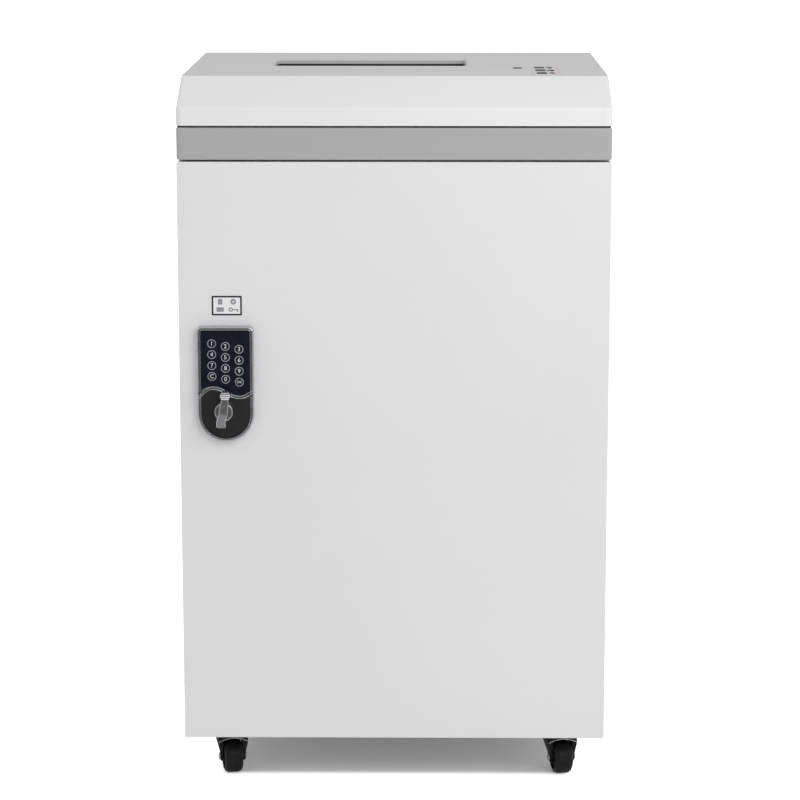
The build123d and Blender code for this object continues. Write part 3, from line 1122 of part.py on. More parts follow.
tub = drafted(BIN_WIDTH, BIN_LENGTH, BIN_CORNER, BASE_TOP)
rim = rim_outline(BIN_RIM, BIN_CORNER + BIN_RIM) - rim_outline(-OVERCUT, BIN_CORNER)
tub += extrude(Pos(0, bin_y, BASE_TOP + BIN_HEIGHT - BIN_RIM_THICK) * rim, BIN_RIM_THICK)
inside_width = BIN_WIDTH - 2 * BIN_WALL
inside_length = BIN_LENGTH - 2 * BIN_WALL
tub -= drafted(inside_width, inside_length, BIN_CORNER - BIN_WALL, BASE_TOP + BIN_WALL)
hand_hole = SlotOverall(HAND_HOLE_WIDTH, HAND_HOLE_HEIGHT)
tub -= extrude(front_view(hand_hole, 0, bin_y, BASE_TOP + BIN_HEIGHT - HAND_HOLE_DROP), BIN_LENGTH)
parts["waste_bin"] = tub

# Mains inlet with three pins and, over it, the rocker switch
INLET_DEPTH = 24.0
INLET_FLANGE = 4.0
INLET_FLANGE_THICK = 2.5
SOCKET_WIDTH = 24.2
SOCKET_HEIGHT = 16.4
SOCKET_DEPTH = 17.0
SOCKET_DROP = 13.0
PIN_WIDTH = 2.0
PIN_HEIGHT = 4.0
PIN_PITCH = 7.0
ROCKER_LIFT = 15.0
ROCKER_WIDTH = 20.0
ROCKER_HEIGHT = 13.0
ROCKER_PLAY = 0.4
ROCKER_SWING = 1.5
ROCKER_AXLE_RADIUS = 1.5
ROCKER_DEPTH = 10.0
ROCKER_DIP = 0.4
ROCKER_SHOULDER = 1.0
ROCKER_KEEL = 2.5
ROCKER_AXLE_REACH = 1.8
ROCKER_AXLE_PLAY = 0.2
PIN_SETBACK = 2.0
PIN_STEP = 2.0
FLANGE_EDGE = 1.0
PANEL_FIT = 0.1
inlet_face = BACK + INLET_FLANGE_THICK
body_size = RectangleRounded(MAINS_WIDTH - 2 * PANEL_FIT, MAINS_HEIGHT - 2 * PANEL_FIT, MAINS_CORNER)
flange_size = RectangleRounded(MAINS_WIDTH + 2 * INLET_FLANGE, MAINS_HEIGHT + 2 * INLET_FLANGE, MAINS_CORNER)
inlet = extrude(front_view(flange_size, MAINS_X, inlet_face, MAINS_Z), INLET_FLANGE_THICK)
inlet = fillet(inlet.faces().sort_by(Axis.Y)[-1].edges(), FLANGE_EDGE)
inlet += extrude(front_view(body_size, MAINS_X, inlet_face, MAINS_Z), INLET_DEPTH)
socket_z = MAINS_Z - SOCKET_DROP
socket = chamfer(Rectangle(SOCKET_WIDTH, SOCKET_HEIGHT).vertices().group_by(Axis.Y)[0], SOCKET_HEIGHT / 4)
inlet -= extrude(front_view(socket, MAINS_X, inlet_face, socket_z), SOCKET_DEPTH)
for column in (-1, 0, 1):
    pin_z = socket_z + (PIN_STEP if column == 0 else -PIN_STEP)
    blade = Pos(MAINS_X + column * PIN_PITCH, inlet_face - (SOCKET_DEPTH + PIN_SETBACK) / 2, pin_z)
    inlet += blade * Box(PIN_WIDTH, SOCKET_DEPTH - PIN_SETBACK, PIN_HEIGHT)
rocker_z = MAINS_Z + ROCKER_LIFT
rocker_axis_y = inlet_face - ROCKER_DEPTH / 2
pocket_width = ROCKER_WIDTH + 2 * ROCKER_PLAY
pocket_height = ROCKER_HEIGHT + 2 * ROCKER_SWING
inlet -= Pos(MAINS_X, rocker_axis_y, rocker_z) * Box(pocket_width, ROCKER_DEPTH, pocket_height)
axle_end = ROCKER_WIDTH / 2 + ROCKER_AXLE_REACH
seat_end = axle_end + ROCKER_AXLE_PLAY
axle_seat = ROCKER_AXLE_RADIUS + PIN_PLAY
inlet -= rod_x(rocker_axis_y, rocker_z, axle_seat, MAINS_X - seat_end, MAINS_X + seat_end)
parts["mains_inlet"] = inlet
rocker_face = ROCKER_DEPTH / 2 - ROCKER_DIP
rocker_side = Plane.YZ * make_face(
    Polyline(
        (0, ROCKER_SHOULDER - ROCKER_HEIGHT / 2),
        (ROCKER_DEPTH / 2 + REAR_PROUD - INLET_FLANGE_THICK, -ROCKER_HEIGHT / 2),
        (rocker_face, 0),
        (rocker_face, ROCKER_HEIGHT / 2),
        (0, ROCKER_HEIGHT / 2 - ROCKER_SHOULDER),
        (-ROCKER_KEEL, 0),
        close=True,
    )
)
rocker = extrude(rocker_side, ROCKER_WIDTH / 2, both=True)
rocker += rod_x(0, 0, ROCKER_AXLE_RADIUS, -axle_end, axle_end)
parts["mains_rocker"] = Pos(MAINS_X, rocker_axis_y, rocker_z) * rocker

os.makedirs("parts", exist_ok=True)
for name, shape in parts.items():
    export_step(shape, "parts/" + name + ".step")
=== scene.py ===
import math

import bpy
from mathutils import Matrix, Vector


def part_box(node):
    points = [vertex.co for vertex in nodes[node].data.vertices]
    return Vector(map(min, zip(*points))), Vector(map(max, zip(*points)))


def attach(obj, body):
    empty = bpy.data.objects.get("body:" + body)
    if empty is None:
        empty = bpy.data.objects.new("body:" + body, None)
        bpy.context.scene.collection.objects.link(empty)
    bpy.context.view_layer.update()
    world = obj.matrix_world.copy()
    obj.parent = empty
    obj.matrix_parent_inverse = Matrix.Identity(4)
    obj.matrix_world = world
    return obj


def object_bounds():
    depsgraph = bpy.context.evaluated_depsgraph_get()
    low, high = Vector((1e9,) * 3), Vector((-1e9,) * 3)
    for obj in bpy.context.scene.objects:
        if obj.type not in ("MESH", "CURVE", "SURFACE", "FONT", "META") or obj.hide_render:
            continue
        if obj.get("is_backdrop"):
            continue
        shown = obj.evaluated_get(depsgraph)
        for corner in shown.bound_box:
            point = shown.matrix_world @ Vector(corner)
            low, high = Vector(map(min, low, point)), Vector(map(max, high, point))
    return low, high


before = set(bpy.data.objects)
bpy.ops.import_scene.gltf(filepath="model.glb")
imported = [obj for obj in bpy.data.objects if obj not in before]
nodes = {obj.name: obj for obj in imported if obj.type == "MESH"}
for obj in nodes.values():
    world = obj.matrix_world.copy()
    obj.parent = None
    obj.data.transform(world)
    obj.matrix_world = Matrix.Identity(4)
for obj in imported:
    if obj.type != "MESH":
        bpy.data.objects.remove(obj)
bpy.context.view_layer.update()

bpy.ops.object.select_all(action="DESELECT")

# Studio: a white sweep and two soft lamps. The sweep glows for the camera as painted light outside a box
# under the machine, so its only shade is painted shade in that box.
# A dark flag and cloth before the machine show in reflections alone, so that metal has depth.
# The camera looks slightly down on the front from three and a half metres, with a long lens.
CAMERA_PLACE = (0.0377, -3.4263, 1.1031)
CAMERA_TURN = (math.radians(90 - 11.183), 0.0, math.radians(0.549))
CAMERA_LENS = 126.43
FLOOR_SIZE = 60.0
FLOOR_COLOUR = (0.9, 0.9, 0.9, 1)
PAINTED_FLOOR_GLOW = (0.1, 1.0)
PAINTED_SHADE_SIDE = (0.195, 0.215)
PAINTED_SHADE_FRONT = (-0.168, -0.190)
PAINTED_SHADE_BACK = (0.215, 0.24)
WORLD_LIGHT = 0.76
FLAG_SPAN = (-0.93, -0.6)
CLOTH_SPAN = (-0.7, -1.3)
FLAG_CUT = 0.88
FRONT_LAMP_PLACE, FRONT_LAMP_AIM = (0.7, -1.5, 1.35), (0.1, -0.2, 0.7)
FRONT_LAMP_SIZE, FRONT_LAMP_POWER = 0.9, 7.6
SIDE_LAMP_PLACE, SIDE_LAMP_SIZE, SIDE_LAMP_POWER = (2.2, -1.0, 1.4), 1.2, 4

camera = bpy.data.objects.new("camera", bpy.data.cameras.new("camera"))
bpy.context.scene.collection.objects.link(camera)
camera.location = CAMERA_PLACE
camera.rotation_euler = CAMERA_TURN
camera.data.lens = CAMERA_LENS
camera.data.clip_end = 200.0
bpy.context.scene.camera = camera
bpy.context.scene.view_settings.view_transform = "Standard"


def soft_lamp(name, place, size, power, aim=(0, 0, 0.45)):
    """A square area lamp that faces a point on the machine."""
    lamp = bpy.data.objects.new(name, bpy.data.lights.new(name, "AREA"))
    bpy.context.scene.collection.objects.link(lamp)
    lamp.data.size = size
    lamp.data.energy = power
    lamp.location = place
    lamp.rotation_euler = (Vector(aim) - Vector(place)).to_track_quat("-Z", "Y").to_euler()


soft_lamp("front_lamp", FRONT_LAMP_PLACE, FRONT_LAMP_SIZE, FRONT_LAMP_POWER, FRONT_LAMP_AIM)
soft_lamp("side_lamp", SIDE_LAMP_PLACE, SIDE_LAMP_SIZE, SIDE_LAMP_POWER)


def add_node(material, kind, **values):
    """A shader node with its plain properties set."""
    node = material.node_tree.nodes.new(kind)
    for key, value in values.items():
        setattr(node, key, value)
    return node


def math_node(tree, operation, *values):
    """A sum fed by sockets or plain numbers."""
    node = tree.nodes.new("ShaderNodeMath")
    node.operation = operation
    for socket, value in zip(node.inputs, values):
        if isinstance(value, (int, float)):
            socket.default_value = value
        else:
            tree.links.new(value, socket)
    return node.outputs[0]


def ramp(tree, value, start, end, low, high):
    """A straight ramp from low to high between two values."""
    node = tree.nodes.new("ShaderNodeMapRange")
    for name, number in zip(("From Min", "From Max", "To Min", "To Max"), (start, end, low, high)):
        node.inputs[name].default_value = number
    tree.links.new(value, node.inputs["Value"])
    return node.outputs[0]


world = bpy.data.worlds.new("studio")
bpy.context.scene.world = world
world.use_nodes = True
sky_tree = world.node_tree
sky = sky_tree.nodes["Background"]
sky.inputs["Color"].default_value = (1, 1, 1, 1)
rays = sky_tree.nodes.new("ShaderNodeLightPath")
seen = math_node(sky_tree, "MAXIMUM", rays.outputs["Is Camera Ray"], rays.outputs["Is Transmission Ray"])
place = sky_tree.nodes.new("ShaderNodeTexCoord")
parts = sky_tree.nodes.new("ShaderNodeSeparateXYZ")
sky_tree.links.new(place.outputs["Generated"], parts.inputs[0])
cut = ramp(sky_tree, parts.outputs["Y"], *FLAG_SPAN, FLAG_CUT, 0)
cut = math_node(sky_tree, "MULTIPLY", cut, rays.outputs["Is Glossy Ray"])
kept = math_node(sky_tree, "SUBTRACT", 1, cut)
strength = math_node(sky_tree, "MULTIPLY", kept, ramp(sky_tree, seen, 0, 1, WORLD_LIGHT, 1))
sky_tree.links.new(strength, sky.inputs["Strength"])

bpy.ops.mesh.primitive_plane_add(size=FLOOR_SIZE, location=(0, 0, 0))
floor = bpy.context.object
floor.name = "studio_floor"
floor_finish = bpy.data.materials.new("studio_white")
floor_finish.use_nodes = True
floor_tree = floor_finish.node_tree
floor_shader = floor_tree.nodes["Principled BSDF"]
floor_shader.inputs["Base Color"].default_value = FLOOR_COLOUR
floor_shader.inputs["Roughness"].default_value = 0.9
floor_shader.inputs["Specular IOR Level"].default_value = 0.0
place = floor_tree.nodes.new("ShaderNodeTexCoord")
parts = floor_tree.nodes.new("ShaderNodeSeparateXYZ")
floor_tree.links.new(place.outputs["Object"], parts.inputs[0])
# Painted shade: the box under the machine where the sweep's camera glow is turned down.
sideways = math_node(floor_tree, "ABSOLUTE", parts.outputs["X"])
outside_painted_shade = math_node(
    floor_tree,
    "MAXIMUM",
    ramp(floor_tree, sideways, *PAINTED_SHADE_SIDE, 0, 1),
    ramp(floor_tree, parts.outputs["Y"], *PAINTED_SHADE_FRONT, 0, 1),
)
outside_painted_shade = math_node(floor_tree, "MAXIMUM", outside_painted_shade, ramp(floor_tree, parts.outputs["Y"], *PAINTED_SHADE_BACK, 0, 1))
# Painted light: the sweep glows white for the camera outside the box, and only a little inside it.
rays = floor_tree.nodes.new("ShaderNodeLightPath")
painted_glow = ramp(floor_tree, outside_painted_shade, 0, 1, *PAINTED_FLOOR_GLOW)
painted_glow = math_node(floor_tree, "MULTIPLY", rays.outputs["Is Camera Ray"], painted_glow)
glow = floor_tree.nodes.new("ShaderNodeEmission")
total = floor_tree.nodes.new("ShaderNodeAddShader")
floor_tree.links.new(painted_glow, glow.inputs["Strength"])
floor_tree.links.new(floor_shader.outputs[0], total.inputs[0])
floor_tree.links.new(glow.outputs[0], total.inputs[1])
cloth = floor_tree.nodes.new("ShaderNodeMixShader")
cut = ramp(floor_tree, parts.outputs["Y"], *CLOTH_SPAN, 0, FLAG_CUT)
floor_tree.links.new(math_node(floor_tree, "MULTIPLY", cut, rays.outputs["Is Glossy Ray"]), cloth.inputs[0])
floor_tree.links.new(total.outputs[0], cloth.inputs[1])
floor_tree.links.new(cloth.outputs[0], floor_tree.nodes["Material Output"].inputs["Surface"])
floor.data.materials.append(floor_finish)
floor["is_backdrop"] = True

# Cabinet panels and door: folded sheet steel under a white powder coat.
# The coat has a fine orange-peel skin and a very slight cloudiness over each wide panel.
POWDER_WHITE = (0.765, 0.765, 0.775)
PEEL_SCALE = 620.0
PEEL_HEIGHT = 0.00012
CLOUD_SCALE = 3.2
NOISE_SPAN = (0.3, 0.7)


def tinted(colour, factor):
    """A colour made lighter or darker, with its alpha."""
    return tuple(min(1.0, c * factor) for c in colour) + (1.0,)


def finish(name, colour, roughness, metallic=0.0):
    """A new material: its Principled shader, with the given plain values."""
    material = bpy.data.materials.new(name)
    material.use_nodes = True
    shader = material.node_tree.nodes["Principled BSDF"]
    shader.inputs["Base Color"].default_value = tinted(colour, 1.0)
    shader.inputs["Roughness"].default_value = roughness
    shader.inputs["Metallic"].default_value = metallic
    return material


def object_noise(material, scale, detail=2.0, stretch=(1, 1, 1)):
    """Noise on the piece's own coordinates, drawn out along chosen axes."""
    place = add_node(material, "ShaderNodeTexCoord")
    mapping = add_node(material, "ShaderNodeMapping")
    mapping.inputs["Scale"].default_value = stretch
    noise = add_node(material, "ShaderNodeTexNoise")
    noise.inputs["Scale"].default_value = scale
    noise.inputs["Detail"].default_value = detail
    material.node_tree.links.new(place.outputs["Object"], mapping.inputs["Vector"])
    material.node_tree.links.new(mapping.outputs[0], noise.inputs["Vector"])
    return noise.outputs["Fac"]


def mottled(material, colour, spread, scale, stretch=(1, 1, 1)):
    """The colour drifts a little lighter and darker over the surface."""
    drift = add_node(material, "ShaderNodeValToRGB")
    for element, edge, factor in zip(drift.color_ramp.elements, NOISE_SPAN, (1 - spread, 1 + spread)):
        element.position = edge
        element.color = tinted(colour, factor)
    shader = material.node_tree.nodes["Principled BSDF"]
    material.node_tree.links.new(object_noise(material, scale, 3.0, stretch), drift.inputs[0])
    material.node_tree.links.new(drift.outputs[0], shader.inputs["Base Color"])


def worn_gloss(material, low, high, scale, stretch=(1, 1, 1)):
    """The roughness drifts between two values over the surface."""
    span = add_node(material, "ShaderNodeMapRange")
    for name, number in zip(("From Min", "From Max", "To Min", "To Max"), (*NOISE_SPAN, low, high)):
        span.inputs[name].default_value = number
    shader = material.node_tree.nodes["Principled BSDF"]
    material.node_tree.links.new(object_noise(material, scale, 4.0, stretch), span.inputs["Value"])
    material.node_tree.links.new(span.outputs[0], shader.inputs["Roughness"])


def skin(material, scale, height, strength=1.0, stretch=(1, 1, 1)):
    """A fine relief from noise, as high as the given metres."""
    bump = add_node(material, "ShaderNodeBump")
    bump.inputs["Strength"].default_value = strength
    bump.inputs["Distance"].default_value = height
    shader = material.node_tree.nodes["Principled BSDF"]
    material.node_tree.links.new(object_noise(material, scale, 2.0, stretch), bump.inputs["Height"])
    material.node_tree.links.new(bump.outputs[0], shader.inputs["Normal"])


def paint(material, *names):
    """Gives CAD nodes or pieces one material."""
    for name in names:
        piece = nodes.get(name) or bpy.data.objects[name]
        piece.data.materials.clear()
        piece.data.materials.append(material)


powder_coat = finish("white_powder_coat", POWDER_WHITE, 0.42)
mottled(powder_coat, POWDER_WHITE, 0.012, CLOUD_SCALE)
worn_gloss(powder_coat, 0.36, 0.46, 9.0)
skin(powder_coat, PEEL_SCALE, PEEL_HEIGHT, 0.35)
paint(powder_coat, "cabinet_side_left", "cabinet_side_right", "cabinet_back", "door_panel")

# Inner sheets: the base tray, engine shelf, door liner and hinge brackets.
# They are zinc plated, with the faint spangle and rolling streaks of bare sheet.
ZINC_GREY = (0.55, 0.56, 0.57)
zinc_sheet = finish("zinc_sheet", ZINC_GREY, 0.4, 0.9)
mottled(zinc_sheet, ZINC_GREY, 0.035, 90.0, (1, 1, 0.2))
worn_gloss(zinc_sheet, 0.36, 0.46, 120.0, (1, 1, 0.2))
skin(zinc_sheet, 500.0, 0.00004, 0.2, (1, 1, 0.1))
paint(zinc_sheet, "cabinet_base", "cabinet_shelf", "door_liner", "hinge_brackets")

# Band: a mid grey moulding between cabinet and head, with a fine spark-eroded grain.
# The head's mouldings have the same grain.
BAND_GREY = (0.405, 0.405, 0.412)
GRAIN_SCALE = 1400.0
GRAIN_HEIGHT = 0.00008
band_plastic = finish("band_plastic", BAND_GREY, 0.5)
mottled(band_plastic, BAND_GREY, 0.015, 5.0)
worn_gloss(band_plastic, 0.46, 0.56, 14.0)
skin(band_plastic, GRAIN_SCALE, GRAIN_HEIGHT, 0.5)
paint(band_plastic, "band_frame")

# Head: a white moulded cover, with a panel let into its flat top; the panel's light grey is painted shade,
# the top lying darker than the front.
# The panel and the control plate share one grained plastic.
HEAD_WHITE = (0.80, 0.80, 0.81)
PANEL_SHADE_GREY = (0.605, 0.59, 0.595)
head_plastic = finish("head_plastic", HEAD_WHITE, 0.4)
mottled(head_plastic, HEAD_WHITE, 0.01, 4.0)
worn_gloss(head_plastic, 0.36, 0.46, 12.0)
skin(head_plastic, GRAIN_SCALE, GRAIN_HEIGHT, 0.4)
paint(head_plastic, "head_cover")
# Painted shade: the grey stands for the flat top lit less than the front.
shaded_panel_plastic = finish("shaded_panel_plastic", PANEL_SHADE_GREY, 0.5)
mottled(shaded_panel_plastic, PANEL_SHADE_GREY, 0.015, 6.0)
skin(shaded_panel_plastic, GRAIN_SCALE, GRAIN_HEIGHT, 0.6)
paint(shaded_panel_plastic, "top_panel", "control_plate")

# Black mouldings: the feed throat that guides the sheets down to the rollers, the four buttons,
# the mains inlet with its rocker, and the lock's inner case.
SOFT_BLACK = (0.022, 0.022, 0.024)
black_plastic = finish("black_plastic", SOFT_BLACK, 0.45)
mottled(black_plastic, SOFT_BLACK, 0.15, 20.0)
worn_gloss(black_plastic, 0.38, 0.55, 30.0)
skin(black_plastic, GRAIN_SCALE, GRAIN_HEIGHT, 0.5)
paint(black_plastic, "feed_throat", "mains_inlet", "mains_rocker", "lock_case")
paint(black_plastic, "button_forward", "button_stop", "button_reverse", "button_power")

# Keypad lock: a die-cast satin nickel bezel, a glossy blue-black key panel, a matt lower plate,
# a swept chrome trim between them, and a chrome turning knob.
SATIN_NICKEL = (0.52, 0.53, 0.545)
satin_nickel = finish("satin_nickel", SATIN_NICKEL, 0.28, 1.0)
worn_gloss(satin_nickel, 0.24, 0.34, 90.0)
skin(satin_nickel, 1500.0, 0.00005, 0.3)
paint(satin_nickel, "lock_bezel")
KEY_BLACK = (0.008, 0.009, 0.02)
gloss_black = finish("gloss_black", KEY_BLACK, 0.12)
mottled(gloss_black, KEY_BLACK, 0.2, 60.0)
worn_gloss(gloss_black, 0.08, 0.2, 120.0)
paint(gloss_black, "lock_face", *[name for name in nodes if name.startswith("key_")])
LOWER_BLACK = (0.018, 0.018, 0.02)
matt_black = finish("matt_black", LOWER_BLACK, 0.38)
worn_gloss(matt_black, 0.3, 0.45, 80.0)
skin(matt_black, 1700.0, 0.00005, 0.4)
paint(matt_black, "lock_lower")
CHROME = (0.72, 0.725, 0.74)
chrome = finish("chrome", CHROME, 0.2, 1.0)
worn_gloss(chrome, 0.14, 0.26, 150.0)
paint(chrome, "lock_knob", "lock_trim")

# Casters: zinc cups and axles, and black nylon forks and wheels.
# The lock's cam and the tie rods share the zinc.
# Zinc for the hardware, also used as painted reflection on the forks' arched lips.
ZINC_AND_REFLECTION_GREY = (0.62, 0.63, 0.65)
zinc_and_painted_reflection = finish("zinc_and_painted_reflection", ZINC_AND_REFLECTION_GREY, 0.28, 1.0)
mottled(zinc_and_painted_reflection, ZINC_AND_REFLECTION_GREY, 0.08, 200.0)
worn_gloss(zinc_and_painted_reflection, 0.22, 0.38, 220.0)
paint(zinc_and_painted_reflection, "caster_plates", "lock_cam", "tie_rods")
NYLON_BLACK = (0.006, 0.006, 0.007)
nylon = finish("black_nylon", NYLON_BLACK, 0.42)
nylon.node_tree.nodes["Principled BSDF"].inputs["Specular IOR Level"].default_value = 0.25
worn_gloss(nylon, 0.34, 0.55, 60.0)
skin(nylon, 900.0, 0.0001, 0.4)
paint(nylon, *[name for name in nodes if name.startswith(("caster_fork", "caster_wheel"))])

# Cutting unit: hardened steel rollers and combs, machined gears and bronze bushes.
# The motor beside it is painted dark grey, and its control board is green.
TOOL_STEEL = (0.36, 0.36, 0.37)
tool_steel = finish("tool_steel", TOOL_STEEL, 0.35, 1.0)
mottled(tool_steel, TOOL_STEEL, 0.15, 70.0)
worn_gloss(tool_steel, 0.25, 0.5, 140.0, (6, 1, 1))
paint(tool_steel, "roller_front", "roller_rear", "frame_plates", "stripper_combs")
GEAR_STEEL = (0.46, 0.46, 0.47)
gear_steel = finish("gear_steel", GEAR_STEEL, 0.3, 1.0)
worn_gloss(gear_steel, 0.22, 0.42, 180.0, (4, 1, 1))
paint(gear_steel, "sync_gear_front", "roller_rear_gears", "idler_gear", "motor_rotor")
BRONZE = (0.5, 0.34, 0.16)
bronze = finish("bearing_bronze", BRONZE, 0.35, 1.0)
mottled(bronze, BRONZE, 0.15, 150.0)
paint(bronze, "roller_bearings")
MOTOR_BLACK = (0.05, 0.052, 0.055)
motor_paint = finish("motor_paint", MOTOR_BLACK, 0.5, 0.2)
skin(motor_paint, 500.0, 0.00015, 0.6)
paint(motor_paint, "motor_housing")
BOARD_GREEN = (0.02, 0.11, 0.05)
board_green = finish("board_green", BOARD_GREEN, 0.35)
mottled(board_green, BOARD_GREEN, 0.3, 300.0)
paint(board_green, "control_board")

# Waste bin: dark grey polypropylene with a soft moulded sheen.
# It stands on the base behind the door and takes what falls down the chute.
BIN_GREY = (0.085, 0.087, 0.09)
bin_plastic = finish("bin_plastic", BIN_GREY, 0.5)
mottled(bin_plastic, BIN_GREY, 0.08, 7.0)
worn_gloss(bin_plastic, 0.4, 0.6, 18.0)
skin(bin_plastic, 420.0, 0.0001, 0.5)
paint(bin_plastic, "waste_bin")

# Framed label over the lock: a black-edged white plate with four grey symbols, glued to the door.
# The symbols are plain shapes: a sheet, a disc, a card and a key.
LABEL_LEFT, LABEL_RIGHT = -211.1, -176.3
LABEL_BOTTOM, LABEL_TOP = 567.8, 590.7
LABEL_BORDER = 1.9
LABEL_THICK = 0.5
LABEL_CORNER, LABEL_EDGE, PAPER_CORNER = 1.2, 0.15, 0.5
DOOR_FACE_Y = -214.75
INK_THICK = 0.08
INK_GREY = (0.30, 0.30, 0.32)
LABEL_BLACK = (0.03, 0.03, 0.033)
LABEL_WHITE = (0.82, 0.82, 0.83)


def mm(*values):
    """Millimetres to metres."""
    return tuple(value / 1000.0 for value in values)


def settle(piece, name, material, body):
    """Puts the piece's place in its mesh, names it and gives it its finish and its body."""
    bpy.ops.object.select_all(action="DESELECT")
    piece.select_set(True)
    bpy.context.view_layer.objects.active = piece
    bpy.ops.object.transform_apply(location=True, rotation=True, scale=True)
    piece.name = name
    piece.data.name = name
    piece.data.materials.clear()
    piece.data.materials.append(material)
    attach(piece, body)
    piece.select_set(False)
    return piece


def add_modifier(piece, kind, **values):
    """Adds one modifier and applies it."""
    bpy.context.view_layer.objects.active = piece
    modifier = piece.modifiers.new(kind.lower(), kind)
    for key, value in values.items():
        setattr(modifier, key, value)
    bpy.ops.object.modifier_apply(modifier=modifier.name)


def thicken(*way):
    """Draws the open mesh in edit mode out into a solid, turns its faces outward and ends edit mode."""
    bpy.ops.mesh.select_all(action="SELECT")
    bpy.ops.mesh.extrude_region_move(TRANSFORM_OT_translate={"value": way})
    bpy.ops.mesh.select_all(action="SELECT")
    bpy.ops.mesh.normals_make_consistent(inside=False)
    bpy.ops.object.mode_set(mode="OBJECT")


def plate(width, height, thick, corner=0.0):
    """A flat plate in XZ, in millimetres: front at y=0, back at y=thick, and round corners."""
    width, height, thick, corner = mm(width, height, thick, corner)
    bpy.ops.mesh.primitive_plane_add(size=1.0)
    piece = bpy.context.object
    piece.scale = (width, height, 1)
    bpy.ops.object.transform_apply(scale=True)
    bpy.ops.object.mode_set(mode="EDIT")
    bpy.ops.mesh.select_all(action="SELECT")
    if corner:
        bpy.ops.mesh.bevel(offset=corner, segments=4, affect="VERTICES")
    thicken(0, 0, -thick)
    piece.rotation_euler = (math.radians(90), 0, 0)
    return piece


def ring_plate(outer, inner, thick, edge=0.0):
    """A flat washer in XZ, in millimetres: front at y=0, and softened edges."""
    outer, inner, thick, edge = mm(outer, inner, thick, edge)
    bpy.ops.mesh.primitive_circle_add(radius=outer, vertices=40, fill_type="NGON")
    piece = bpy.context.object
    bpy.ops.object.mode_set(mode="EDIT")
    bpy.ops.mesh.select_all(action="SELECT")
    bpy.ops.mesh.inset(thickness=outer - inner)
    bpy.ops.mesh.delete(type="FACE")
    thicken(0, 0, -thick)
    if edge:
        add_modifier(piece, "BEVEL", width=edge, segments=2, limit_method="ANGLE")
    bpy.ops.object.shade_smooth_by_angle(angle=math.radians(40))
    piece.rotation_euler = (math.radians(90), 0, 0)
    return piece


def merge(pieces):
    """Joins pieces that are fixed together into one mesh."""
    bpy.ops.object.select_all(action="DESELECT")
    for piece in pieces:
        piece.select_set(True)
    bpy.context.view_layer.objects.active = pieces[0]
    bpy.ops.object.transform_apply(location=True, rotation=True, scale=True)
    if len(pieces) > 1:
        bpy.ops.object.join()
    return pieces[0]


def at(piece, x, y, z):
    """Moves a piece to a place given in millimetres."""
    piece.location = mm(x, y, z)
    return piece


label_x = (LABEL_LEFT + LABEL_RIGHT) / 2
label_z = (LABEL_BOTTOM + LABEL_TOP) / 2
label_width = LABEL_RIGHT - LABEL_LEFT
label_height = LABEL_TOP - LABEL_BOTTOM
label_black = finish("label_black", LABEL_BLACK, 0.35)
mottled(label_black, LABEL_BLACK, 0.15, 90.0)
label_white = finish("label_white", LABEL_WHITE, 0.4)
mottled(label_white, LABEL_WHITE, 0.01, 60.0)
ink_grey = finish("ink_grey", INK_GREY, 0.5)
mottled(ink_grey, INK_GREY, 0.08, 400.0)

backing = plate(label_width, label_height, LABEL_THICK, corner=LABEL_CORNER)
add_modifier(backing, "BEVEL", width=LABEL_EDGE / 1000, segments=2, limit_method="ANGLE")
backing = at(backing, label_x, DOOR_FACE_Y - LABEL_THICK, label_z)
settle(backing, "label_frame", label_black, "door")
paper_size = (label_width - 2 * LABEL_BORDER, label_height - 2 * LABEL_BORDER)
paper = plate(*paper_size, INK_THICK, corner=PAPER_CORNER)
paper = at(paper, label_x, DOOR_FACE_Y - LABEL_THICK - INK_THICK, label_z)
settle(paper, "label_card", label_white, "door")

SYMBOL_DX, SYMBOL_DZ = 7.6, 4.6
SHEET_SIZE, SHEET_CORNER = (5.0, 6.6), 0.6
DATA_CARD_SIZE, DATA_CARD_CORNER = (8.4, 5.2), 0.7
DISC_RING, BOW_RING = (3.4, 1.1), (2.6, 1.2)
STEM_SIZE, BIT_SIZE = (6.4, 1.3), (1.4, 2.6)
BOW_DX, STEM_DX, BIT_DX, BIT_DZ = -3.0, 2.6, 4.8, -1.2


def symbol(shape, dx, dz):
    """Lays one symbol on the label's card, by its place from the label's middle."""
    return at(shape, label_x + dx, DOOR_FACE_Y - LABEL_THICK - 2 * INK_THICK, label_z + dz)


sheet_mark = symbol(plate(*SHEET_SIZE, INK_THICK, corner=SHEET_CORNER), -SYMBOL_DX, SYMBOL_DZ)
disc_mark = symbol(ring_plate(*DISC_RING, INK_THICK), SYMBOL_DX, SYMBOL_DZ)
card_mark = symbol(plate(*DATA_CARD_SIZE, INK_THICK, corner=DATA_CARD_CORNER), -SYMBOL_DX, -SYMBOL_DZ)
key_bow = symbol(ring_plate(*BOW_RING, INK_THICK), SYMBOL_DX + BOW_DX, -SYMBOL_DZ)
key_stem = symbol(plate(*STEM_SIZE, INK_THICK), SYMBOL_DX + STEM_DX, -SYMBOL_DZ)
key_bit = symbol(plate(*BIT_SIZE, INK_THICK), SYMBOL_DX + BIT_DX, BIT_DZ - SYMBOL_DZ)
symbols = merge([sheet_mark, disc_mark, card_mark, key_bow, key_stem, key_bit])
settle(symbols, "label_symbols", ink_grey, "door")

